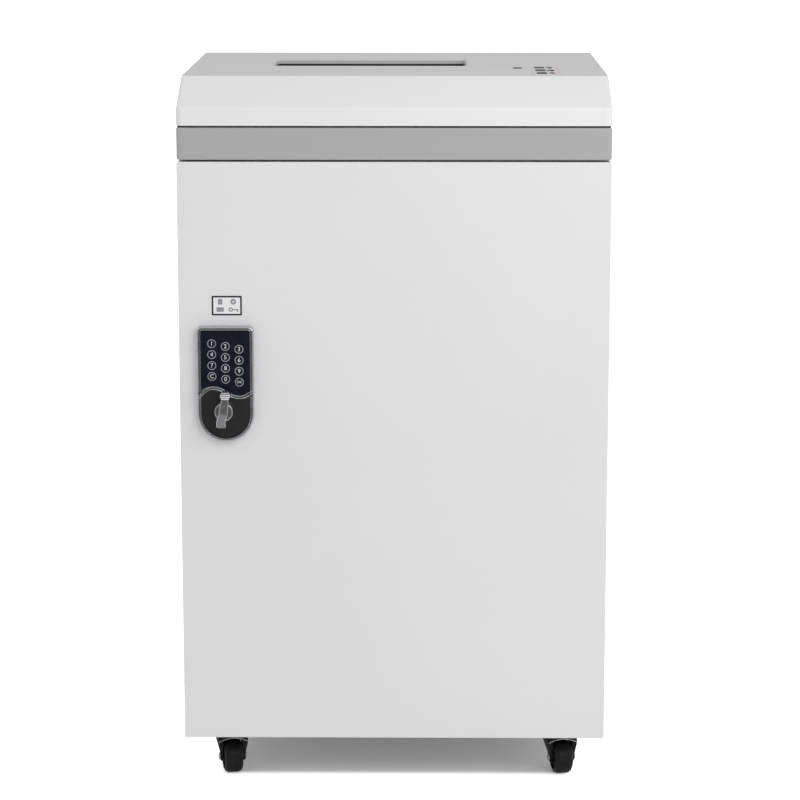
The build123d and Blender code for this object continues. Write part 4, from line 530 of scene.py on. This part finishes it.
# Key rings and legends: a light moulded ring round each key, and its printed figure.
# They ride on their own key, so they go in with it.
RING_OUTER, RING_INNER = 5.15, 4.2
RING_PROUD, RING_SUNK, RING_EDGE = 0.15, 0.3, 0.12
RING_LIGHT = (0.42, 0.44, 0.5)
LEGEND_SIZE = 6.9
LEGEND_SIZE_WIDE = 4.3
LEGEND_PROUD = 0.03
LEGEND_LIGHT = (0.72, 0.74, 0.78)
ring_plastic = finish("ring_plastic", RING_LIGHT, 0.3, 0.4)
mottled(ring_plastic, RING_LIGHT, 0.1, 700.0)
worn_gloss(ring_plastic, 0.22, 0.4, 500.0)
legend_ink = finish("legend_ink", LEGEND_LIGHT, 0.45)
mottled(legend_ink, LEGEND_LIGHT, 0.06, 900.0)


def lettering(words, size, thick=0.06):
    """Raised print in XZ, sized in millimetres, centred on its place, facing the front."""
    size, thick = mm(size, thick)
    bpy.ops.object.text_add()
    text = bpy.context.object
    text.data.body = words
    text.data.size = size
    text.data.align_x = "CENTER"
    text.data.align_y = "CENTER"
    text.data.extrude = thick
    text.data.resolution_u = 4
    bpy.ops.object.convert(target="MESH")
    piece = bpy.context.object
    piece.rotation_euler = (math.radians(90), 0, 0)
    return piece


LEGENDS = {"clear": "C", "ok": "OK"}
for key in ("1", "2", "3", "4", "5", "6", "7", "8", "9", "clear", "0", "ok"):
    low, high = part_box("key_" + key)
    key_x = (low[0] + high[0]) / 2
    key_z = (low[2] + high[2]) / 2
    ring = ring_plate(RING_OUTER, RING_INNER, RING_PROUD + RING_SUNK, edge=RING_EDGE)
    ring.location = (key_x, low[1] - RING_PROUD / 1000, key_z)
    settle(ring, "key_ring_" + key, ring_plastic, "key_" + key + "_body")
    words = LEGENDS.get(key, key)
    legend = lettering(words, LEGEND_SIZE_WIDE if len(words) > 1 else LEGEND_SIZE)
    legend.location = (key_x, low[1] - LEGEND_PROUD / 1000, key_z)
    settle(legend, "key_legend_" + key, legend_ink, "key_" + key + "_body")

# Swept trim: two polished lips run along the edges of the trim between key panel and lower plate.
# They meet the bezel at both sides.
TRIM_Y = -226.6
LIP_RADIUS = 0.42
TRIM_HALF = 1.45
WAVE_PLACES = ((-31.6, 472.6), (-16.4, 483.9), (16.4, 473.3), (31.6, 479.4))
LOCK_X = -195.5


def drawn_bead(places, radius):
    """A round bead drawn through places, all in millimetres."""
    bpy.ops.curve.primitive_bezier_curve_add()
    bead = bpy.context.object
    bead.data.splines[0].bezier_points.add(len(places) - 2)
    for point, place in zip(bead.data.splines[0].bezier_points, places):
        point.co = mm(*place)
        point.handle_left_type = "AUTO"
        point.handle_right_type = "AUTO"
    bead.data.bevel_depth = radius / 1000
    bead.data.bevel_resolution = 3
    bead.data.resolution_u = 16
    bead.data.use_fill_caps = True
    bpy.ops.object.convert(target="MESH")
    bpy.ops.object.shade_smooth()
    return bpy.context.object


for name, shift in (("upper", TRIM_HALF), ("lower", -TRIM_HALF)):
    lip = drawn_bead([(LOCK_X + x, TRIM_Y, z + shift) for x, z in WAVE_PLACES], LIP_RADIUS)
    settle(lip, "trim_lip_" + name, chrome, "door")

# Knob polish: bright beads on both edges of the lever, a rim on its round base and four ribs on its tip, in
# a light silver that is painted highlight. They turn with the knob.
KNOB_X, KNOB_Z = -197.5, 457.0
LEVER_FRONT_Y, LEVER_SWEEP = -248.75, 2.0
LEVER_TIP, LEVER_FOOT = 27.0, 16.6
LEVER_LEFT = ((16.4, -1.3), (8, -3.3), (0, -4.6), (-8.3, -7.0), (-15.4, -7.3))
LEVER_RIGHT = ((16.4, 6.2), (8, 5.5), (0, 4.6), (-8.3, 2.2), (-15.4, 2.6))
EDGE_BEAD, EDGE_SUNK = 0.55, 0.4
DIAL_RIM, DIAL_RIM_BEAD, DIAL_RIM_SUNK = 10.0, 0.7, 0.6
DIAL_FRONT_Y = -234.15
TIP_RIBS = ((25.2, -1.4, 7.6), (22.9, -2.6, 8.6), (20.6, -2.6, 8.4), (18.3, -1.6, 7.2))
RIB_BEAD, RIB_Y = 0.98, -247.76
# Painted highlight: the ribs' light, rough silver stays bright where the chrome knob would only glint.
TIP_HIGHLIGHT_SILVER = (0.78, 0.785, 0.8)
tip_highlight_silver = finish("tip_highlight_silver", TIP_HIGHLIGHT_SILVER, 0.5, 0.35)
worn_gloss(tip_highlight_silver, 0.42, 0.58, 300.0)


def lever_front(z):
    """The lever's front face leans back by the same sweep above and below the dial's middle."""
    return LEVER_FRONT_Y + LEVER_SWEEP * (1 - (z / LEVER_TIP if z > 0 else z / LEVER_FOOT))


polish = []
for edge in (LEVER_LEFT, LEVER_RIGHT):
    line = [(KNOB_X + x, lever_front(z) + EDGE_BEAD * EDGE_SUNK, KNOB_Z + z) for z, x in edge]
    polish.append(drawn_bead(line, EDGE_BEAD))
ribs = [
    drawn_bead([(KNOB_X + left, RIB_Y, KNOB_Z + z), (KNOB_X + right, RIB_Y, KNOB_Z + z)], RIB_BEAD)
    for z, left, right in TIP_RIBS
]
settle(merge(ribs), "knob_tip_ribs", tip_highlight_silver, "lock_knob")
bpy.ops.mesh.primitive_torus_add(
    major_radius=DIAL_RIM / 1000, minor_radius=DIAL_RIM_BEAD / 1000, major_segments=64, minor_segments=12
)
rim = bpy.context.object
bpy.ops.object.shade_smooth()
rim.rotation_euler = (math.radians(90), 0, 0)
polish.append(at(rim, KNOB_X, DIAL_FRONT_Y + DIAL_RIM_BEAD * DIAL_RIM_SUNK, KNOB_Z))
settle(merge(polish), "knob_polish", chrome, "lock_knob")

# Bezel bead: a bright line where the die-cast bezel meets the key panel and the lower plate.
# It runs round under the square top and the half-round bottom of the lock.
BEAD_RADIUS = 0.35
BEAD_HALF_WIDTH = 29.0
BEAD_TOP, BEAD_BOTTOM = 552.4, 423.6
BEAD_TOP_CORNER, BEAD_FOOT_CORNER = 2.6, BEAD_HALF_WIDTH * 0.999
BEAD_Y = -225.75
NEARLY = 0.99
bpy.ops.mesh.primitive_plane_add(size=1.0)
bead = bpy.context.object
bead.scale = mm(2 * BEAD_HALF_WIDTH, BEAD_TOP - BEAD_BOTTOM, 1000)
bpy.ops.object.transform_apply(scale=True)
for top_side, corner, steps in ((True, BEAD_TOP_CORNER, 4), (False, BEAD_FOOT_CORNER, 16)):
    bpy.ops.object.mode_set(mode="EDIT")
    bpy.ops.mesh.select_mode(type="VERT")
    bpy.ops.mesh.select_all(action="DESELECT")
    bpy.ops.object.mode_set(mode="OBJECT")
    edge_y = max(abs(vertex.co.y) for vertex in bead.data.vertices)
    for vertex in bead.data.vertices:
        vertex.select = vertex.co.y > edge_y * NEARLY if top_side else vertex.co.y < -edge_y * NEARLY
    bpy.ops.object.mode_set(mode="EDIT")
    bpy.ops.mesh.bevel(offset=corner / 1000, segments=steps, affect="VERTICES")
    bpy.ops.object.mode_set(mode="OBJECT")
bpy.ops.object.mode_set(mode="EDIT")
bpy.ops.mesh.select_all(action="SELECT")
bpy.ops.mesh.remove_doubles(threshold=0.00002)
bpy.ops.mesh.delete(type="ONLY_FACE")
bpy.ops.object.mode_set(mode="OBJECT")
bpy.ops.object.convert(target="CURVE")
bead = bpy.context.object
bead.data.bevel_depth = BEAD_RADIUS / 1000
bead.data.bevel_resolution = 2
bpy.ops.object.convert(target="MESH")
bead = bpy.context.object
bpy.ops.object.shade_smooth()
bead.rotation_euler = (math.radians(90), 0, 0)
settle(at(bead, LOCK_X, BEAD_Y, (BEAD_TOP + BEAD_BOTTOM) / 2), "bezel_bead", chrome, "door")

# Seam strip: a black ring set in the groove between the band and the head, painted shade that darkens the
# gap.
SEAM_STRIP_WIDTH, SEAM_STRIP_LENGTH = 497.4, 457.4
SEAM_STRIP_MIDDLE_Y = 15.25
SEAM_STRIP_BOTTOM, SEAM_STRIP_THICK = 785.52, 1.96
SEAM_STRIP_CORNER, SEAM_STRIP_DEPTH = 5.0, 2.0
# Painted shade: the strip's black stands for the shadow in the groove.
SEAM_SHADE_BLACK = (0.012, 0.012, 0.013)
seam_shade = finish("seam_painted_shade", SEAM_SHADE_BLACK, 0.7)
mottled(seam_shade, SEAM_SHADE_BLACK, 0.2, 40.0)
bpy.ops.mesh.primitive_plane_add(size=1.0)
seam_strip = bpy.context.object
seam_strip.scale = mm(SEAM_STRIP_WIDTH, SEAM_STRIP_LENGTH, 1000)
bpy.ops.object.transform_apply(scale=True)
bpy.ops.object.mode_set(mode="EDIT")
bpy.ops.mesh.select_all(action="SELECT")
bpy.ops.mesh.bevel(offset=SEAM_STRIP_CORNER / 1000, segments=6, affect="VERTICES")
bpy.ops.mesh.select_all(action="SELECT")
bpy.ops.mesh.inset(thickness=SEAM_STRIP_DEPTH / 1000)
bpy.ops.mesh.delete(type="FACE")
thicken(0, 0, SEAM_STRIP_THICK / 1000)
settle(at(seam_strip, 0, SEAM_STRIP_MIDDLE_Y, SEAM_STRIP_BOTTOM), "seam_shade_strip", seam_shade, "cabinet")

# Control marks and lamps: printed symbols beside the three buttons, and a small lens for each.
# Two arrows one way run the cutters back, a square stops them and two the other way feed.
CONTROL_ROWS = {"reverse": -92.75, "stop": -51.75, "forward": -10.75}
PLATE_TOP_Z = 838.0
MARK_X, MARK_SHIFT = 185.6, 3.0
MARK_THICK = 0.12
ARROW_RADIUS, ARROW_STEP = 5.2, 4.0
SQUARE_SIDE = 8.6
MARK_STRETCH = 1.65
LENS_X, LENS_AHEAD = 186.5, 12.0
LENS_RADIUS, LENS_RISE, LENS_ROUND = 1.55, 0.55, 0.8
# Black for the printed marks, also used as painted shade in the power button's recess.
PRINT_AND_SHADE_BLACK = (0.02, 0.02, 0.022)
LENS_COLOURS = {"reverse": (0.5, 0.26, 0.03), "stop": (0.4, 0.03, 0.02), "forward": (0.05, 0.3, 0.06)}
print_and_shade_black = finish("print_and_shade_black", PRINT_AND_SHADE_BLACK, 0.8)
print_and_shade_black.node_tree.nodes["Principled BSDF"].inputs["Specular IOR Level"].default_value = 0.1
mottled(print_and_shade_black, PRINT_AND_SHADE_BLACK, 0.1, 300.0)


def flat_shape(corners, radius, turn, x, y, z, thick):
    """A regular printed shape lying flat, facing up."""
    bpy.ops.mesh.primitive_circle_add(vertices=corners, radius=radius / 1000, fill_type="NGON")
    piece = bpy.context.object
    bpy.ops.object.mode_set(mode="EDIT")
    thicken(0, 0, thick / 1000)
    piece.rotation_euler = (0, 0, math.radians(turn))
    return at(piece, x, y, z)


def square_print(width, length, x, y):
    """A four-cornered printed shape lying flat, with its sides along X and Y."""
    piece = flat_shape(4, 0.5 * math.sqrt(2), 45, 0, 0, 0, MARK_THICK)
    bpy.ops.object.transform_apply(location=True, rotation=True, scale=True)
    piece.scale = (width, length, 1)
    return at(piece, x, y, PLATE_TOP_Z)


for name, row_y in CONTROL_ROWS.items():
    if name == "stop":
        marks = [square_print(SQUARE_SIDE, SQUARE_SIDE * MARK_STRETCH, MARK_X, row_y + MARK_SHIFT)]
    else:
        turn = 180 if name == "forward" else 0
        marks = [
            flat_shape(3, ARROW_RADIUS, turn, MARK_X, row_y + MARK_SHIFT + step, PLATE_TOP_Z, MARK_THICK)
            for step in (-ARROW_STEP, ARROW_STEP)
        ]
    settle(merge(marks), "mark_" + name, print_and_shade_black, "cabinet")
    lens_paint = finish("lens_" + name, LENS_COLOURS[name], 0.15)
    lens_paint.node_tree.nodes["Principled BSDF"].inputs["Coat Weight"].default_value = 0.6
    mottled(lens_paint, LENS_COLOURS[name], 0.15, 800.0)
    bpy.ops.mesh.primitive_cylinder_add(vertices=24, radius=LENS_RADIUS / 1000, depth=2 * LENS_RISE / 1000)
    lens = bpy.context.object
    add_modifier(lens, "BEVEL", width=LENS_RISE * LENS_ROUND / 1000, segments=4, limit_method="ANGLE")
    bpy.ops.object.shade_smooth_by_angle(angle=math.radians(40))
    lens = at(lens, LENS_X, row_y - LENS_AHEAD, PLATE_TOP_Z)
    settle(lens, "lamp_lens_" + name, lens_paint, "cabinet")

# Power button surround: a ring at the bottom of the round recess in the top panel, black as painted shade
# of the recess.
# It closes the gap round the button, below the panel's face.
low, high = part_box("button_power")
SURROUND_OUTER, SURROUND_INNER = 6.95, 5.25
SURROUND_BOTTOM, SURROUND_THICK = 837.0, 0.6
# Painted shade: the black ring stands for the shadow at the bottom of the recess.
recess_shade_ring = ring_plate(SURROUND_OUTER, SURROUND_INNER, SURROUND_THICK, edge=RING_EDGE)
recess_shade_ring.rotation_euler = (0, 0, 0)
power_x, power_y = (1000 * (low[axis] + high[axis]) / 2 for axis in (0, 1))
recess_shade_ring = at(recess_shade_ring, power_x, power_y, SURROUND_BOTTOM + SURROUND_THICK)
settle(recess_shade_ring, "power_recess_shade", print_and_shade_black, "cabinet")

# Screws: three heads with a cross recess, each turned and copied to its places.
# They hold the back sheet, the hinge feet, the door liner, the lock case and the caster plates.
SCREW_RADIUS, SCREW_HEIGHT, SCREW_ROUND = 4.0, 2.2, 0.45
RECESS_LENGTH, RECESS_WIDTH, RECESS_DEPTH, RECESS_SHARE = 4.6, 1.1, 1.2, 0.6


def screw_head(radius, height):
    """A pan head that stands up along +Z from the origin."""
    bpy.ops.mesh.primitive_cylinder_add(vertices=24, radius=radius / 1000, depth=height / 1000)
    head = bpy.context.object
    head.location = (0, 0, height / 2000)
    bpy.ops.object.transform_apply(location=True)
    bpy.ops.object.mode_set(mode="EDIT")
    bpy.ops.mesh.select_mode(type="VERT")
    bpy.ops.object.mode_set(mode="OBJECT")
    for vertex in head.data.vertices:
        vertex.select = vertex.co.z > height * NEARLY / 1000
    bpy.ops.object.mode_set(mode="EDIT")
    bpy.ops.mesh.bevel(offset=height * SCREW_ROUND / 1000, segments=3, affect="EDGES")
    bpy.ops.object.mode_set(mode="OBJECT")
    scale = radius / SCREW_RADIUS
    for turn in (0, 90):
        bpy.ops.mesh.primitive_cube_add(size=1.0)
        cutter = bpy.context.object
        depth = min(RECESS_DEPTH, height * RECESS_SHARE)
        cutter.scale = mm(RECESS_LENGTH * scale, RECESS_WIDTH * scale, 2 * depth)
        cutter.location = (0, 0, height / 1000)
        cutter.rotation_euler = (0, 0, math.radians(turn))
        bpy.ops.object.select_all(action="DESELECT")
        add_modifier(head, "BOOLEAN", object=cutter, operation="DIFFERENCE", solver="EXACT")
        bpy.data.objects.remove(cutter)
    bpy.context.view_layer.objects.active = head
    head.select_set(True)
    bpy.ops.object.shade_smooth_by_angle(angle=math.radians(35))
    head.select_set(False)
    return head


def copy_of(piece):
    """A copy with its own mesh."""
    twin = piece.copy()
    twin.data = piece.data.copy()
    bpy.context.scene.collection.objects.link(twin)
    return twin


FACING = {"back": (0, 1, 0), "front": (0, -1, 0), "down": (0, 0, -1)}
SCREW_SPIN = 37
LOW_HEAD, FLUSH_HEAD = (3.4, 1.0), (2.8, 0.3)
pan_head = screw_head(SCREW_RADIUS, SCREW_HEIGHT)
low_head = screw_head(*LOW_HEAD)
flush_head = screw_head(*FLUSH_HEAD)
BACK_Y, FLANGE_FRONT_Y, LINER_BACK_Y, CASE_BACK_Y = 245.25, -192.75, -194.75, -190.25
BACK_COLUMNS, BACK_ROWS = (-240, 240), (80, 296, 512, 728)
HINGE_X, HINGE_ROWS = 238.5, (76, 92, 709, 725)
LINER_COLUMNS, LINER_ROWS = (-238, 236), (130, 330, 640)
CASE_COLUMNS, CASE_ROWS = (-220.5, -170.5), (435, 541)
PLATE_UNDERSIDE_Z = 56.0
CASTER_X, CASTER_FRONT_Y, CASTER_REAR_Y = 199.0, -156.75, 175.25
PLATE_HOLES = (-19, 19)
back_places = [(x, BACK_Y, z) for x in BACK_COLUMNS for z in BACK_ROWS]
hinge_places = [(HINGE_X, FLANGE_FRONT_Y, z) for z in HINGE_ROWS]
liner_places = [(x, LINER_BACK_Y, z) for x in LINER_COLUMNS for z in LINER_ROWS]
case_places = [(x, CASE_BACK_Y, z) for x in CASE_COLUMNS for z in CASE_ROWS]
caster_places = [
    (x + dx, y + dy, PLATE_UNDERSIDE_Z)
    for x in (-CASTER_X, CASTER_X)
    for y in (CASTER_FRONT_Y, CASTER_REAR_Y)
    for dx in PLATE_HOLES
    for dy in PLATE_HOLES
]
groups = {
    "screws_back": (pan_head, "back", "cabinet", back_places),
    "screws_hinge": (low_head, "front", "cabinet", hinge_places),
    "screws_liner": (low_head, "back", "door", liner_places),
    "screws_lock": (flush_head, "back", "door", case_places),
    "screws_casters": (pan_head, "down", "cabinet", caster_places),
}
for name, (head, facing, body, places) in groups.items():
    copies = []
    for index, place in enumerate(places):
        twin = at(copy_of(head), *place)
        turn = math.radians(SCREW_SPIN * index)
        tilt = Vector((0, 0, 1)).rotation_difference(Vector(FACING[facing]))
        twin.rotation_mode = "QUATERNION"
        spin = Vector((1, 0, 0)).rotation_difference(Vector((math.cos(turn), math.sin(turn), 0)))
        twin.rotation_quaternion = tilt @ spin
        copies.append(twin)
    settle(merge(copies), name, zinc_and_painted_reflection, body)
for head in (pan_head, low_head, flush_head):
    bpy.data.objects.remove(head)

# Axle rivets: a domed zinc head on each end of every caster's axle.
# The axle itself is pressed into the fork, so its heads swivel with the fork.
RIVET_RADIUS, RIVET_HEIGHT, RIVET_ROUND = 4.4, 2.0, 0.48
FORK_HALF = 14.75
CASTER_TURN = 11.0
CASTERS = {
    "front_left": (-CASTER_X, CASTER_FRONT_Y, CASTER_TURN),
    "front_right": (CASTER_X, CASTER_FRONT_Y, CASTER_TURN),
    "rear_left": (-CASTER_X, CASTER_REAR_Y, -CASTER_TURN),
    "rear_right": (CASTER_X, CASTER_REAR_Y, CASTER_TURN),
}
TRAIL, AXLE_Z = 14.0, 20.0
for name, (x, y, turn) in CASTERS.items():
    angle = math.radians(turn)
    wheel_x = x + TRAIL * math.sin(angle)
    wheel_y = y - TRAIL * math.cos(angle)
    rivets = []
    for side in (-1, 1):
        rivet_radius, rivet_height = mm(RIVET_RADIUS, RIVET_HEIGHT)
        bpy.ops.mesh.primitive_cylinder_add(vertices=28, radius=rivet_radius, depth=rivet_height)
        rivet = bpy.context.object
        add_modifier(rivet, "BEVEL", width=rivet_height * RIVET_ROUND, segments=4, limit_method="ANGLE")
        bpy.ops.object.shade_smooth_by_angle(angle=math.radians(40))
        reach = side * (FORK_HALF + RIVET_HEIGHT / 2)
        rivet.rotation_euler = (0, math.radians(90), angle)
        end_x, end_y = wheel_x + reach * math.cos(angle), wheel_y + reach * math.sin(angle)
        rivets.append(at(rivet, end_x, end_y, AXLE_Z))
    settle(merge(rivets), "axle_rivets_" + name, zinc_and_painted_reflection, "caster_" + name)

# Fork webs: a black web behind each wheel and an arched brow before it close the fork's hood.
# A lip in bright zinc follows the arch of the brow as painted reflection of the hood's glossy edge, and all
# of them swivel with the fork.
WEB_WIDTH, WEB_BOTTOM, WEB_TOP = 24.2, 30.0, 43.6
WEB_Y, WEB_THICK, WEB_CORNER = 8.4, 1.6, 2.0
BROW_HALF, BROW_CORNER, BROW_TOP = 17.4, 14.4, 46.0
BROW_SIDE, BROW_MIDDLE = 39.4, 43.9
BROW_Y, BROW_THICK, BROW_STEPS = -20.9, 1.4, 16
BROW_EDGE, HIGHLIGHT_LIP_THICK = 0.3, 0.7


def arch(x):
    """Height of the brow's lower edge."""
    return BROW_MIDDLE - (BROW_MIDDLE - BROW_SIDE) * (x / BROW_HALF) ** 2


def brow_plate():
    """An upright plate with cut top corners and an arched lower edge."""
    bpy.ops.mesh.primitive_grid_add(x_subdivisions=BROW_STEPS, y_subdivisions=1, size=1.0)
    brow = bpy.context.object
    for vertex in brow.data.vertices:
        x = vertex.co.x * 2 * BROW_HALF
        top = BROW_TOP - max(0.0, abs(x) - BROW_CORNER)
        vertex.co = mm(x, BROW_Y, top if vertex.co.y > 0 else arch(x))
    bpy.ops.object.mode_set(mode="EDIT")
    thicken(0, BROW_THICK / 1000, 0)
    add_modifier(brow, "BEVEL", width=BROW_EDGE / 1000, segments=2, limit_method="ANGLE")
    return brow


for name, (x, y, turn) in CASTERS.items():
    web = plate(WEB_WIDTH, WEB_TOP - WEB_BOTTOM, WEB_THICK, corner=WEB_CORNER)
    web = at(web, 0, WEB_Y, (WEB_TOP + WEB_BOTTOM) / 2)
    hood = merge([web, brow_plate()])
    stops = [BROW_HALF * step / 4 for step in range(-4, 5)]
    # Painted reflection: the bright lip stands for light glancing off the hood's glossy arched edge.
    lip = drawn_bead([(stop, BROW_Y, arch(stop)) for stop in stops], HIGHLIGHT_LIP_THICK)
    for piece, kind, material, slot in (
        (hood, "fork_hood_", nylon, "caster_black"),
        (lip, "fork_reflection_lip_", zinc_and_painted_reflection, "zinc_bright"),
    ):
        piece.rotation_euler = (0, 0, math.radians(turn))
        settle(at(piece, x, y, 0), kind + name, material, "caster_" + name)

# Mains inlet: nickel sleeves on its three pins, and the printed marks on the rocker.
# The line is on, the circle off.
PIN_TIP_Y, PIN_ROOT_Y = 245.8, 231.0
PIN_PLACES = ((168.0, 675.0), (175.0, 679.0), (182.0, 675.0))
PIN_SIZE, PIN_CORNER = (2.12, 4.12), 0.3
NICKEL = (0.6, 0.57, 0.5)
nickel = finish("nickel", NICKEL, 0.25, 1.0)
worn_gloss(nickel, 0.18, 0.34, 400.0)
pins = []
for x, z in PIN_PLACES:
    pin = plate(*PIN_SIZE, PIN_TIP_Y - PIN_ROOT_Y, corner=PIN_CORNER)
    add_modifier(pin, "BEVEL", width=PIN_CORNER / 1000, segments=3, limit_method="ANGLE")
    pins.append(at(pin, x, PIN_ROOT_Y, z))
settle(merge(pins), "inlet_pins", nickel, "cabinet")
MARK_WHITE = (0.75, 0.75, 0.75)
mark_white = finish("mark_white", MARK_WHITE, 0.5)
mottled(mark_white, MARK_WHITE, 0.05, 300.0)
ROCKER_MARK_SIZE, ROCKER_MARK_THICK = 4.8, 0.1
ON_PLACE, OFF_PLACE = (175.0, 247.36, 708.3), (175.0, 248.08, 701.7)
ROCKER_LEAN = 12
on_mark = lettering("I", ROCKER_MARK_SIZE, ROCKER_MARK_THICK)
on_mark.rotation_euler = (math.radians(90), 0, math.radians(180))
off_mark = lettering("O", ROCKER_MARK_SIZE, ROCKER_MARK_THICK)
off_mark.rotation_euler = (math.radians(90 - ROCKER_LEAN), 0, math.radians(180))
marks = [at(on_mark, *ON_PLACE), at(off_mark, *OFF_PLACE)]
settle(merge(marks), "rocker_marks", mark_white, "rocker")

low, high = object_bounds()
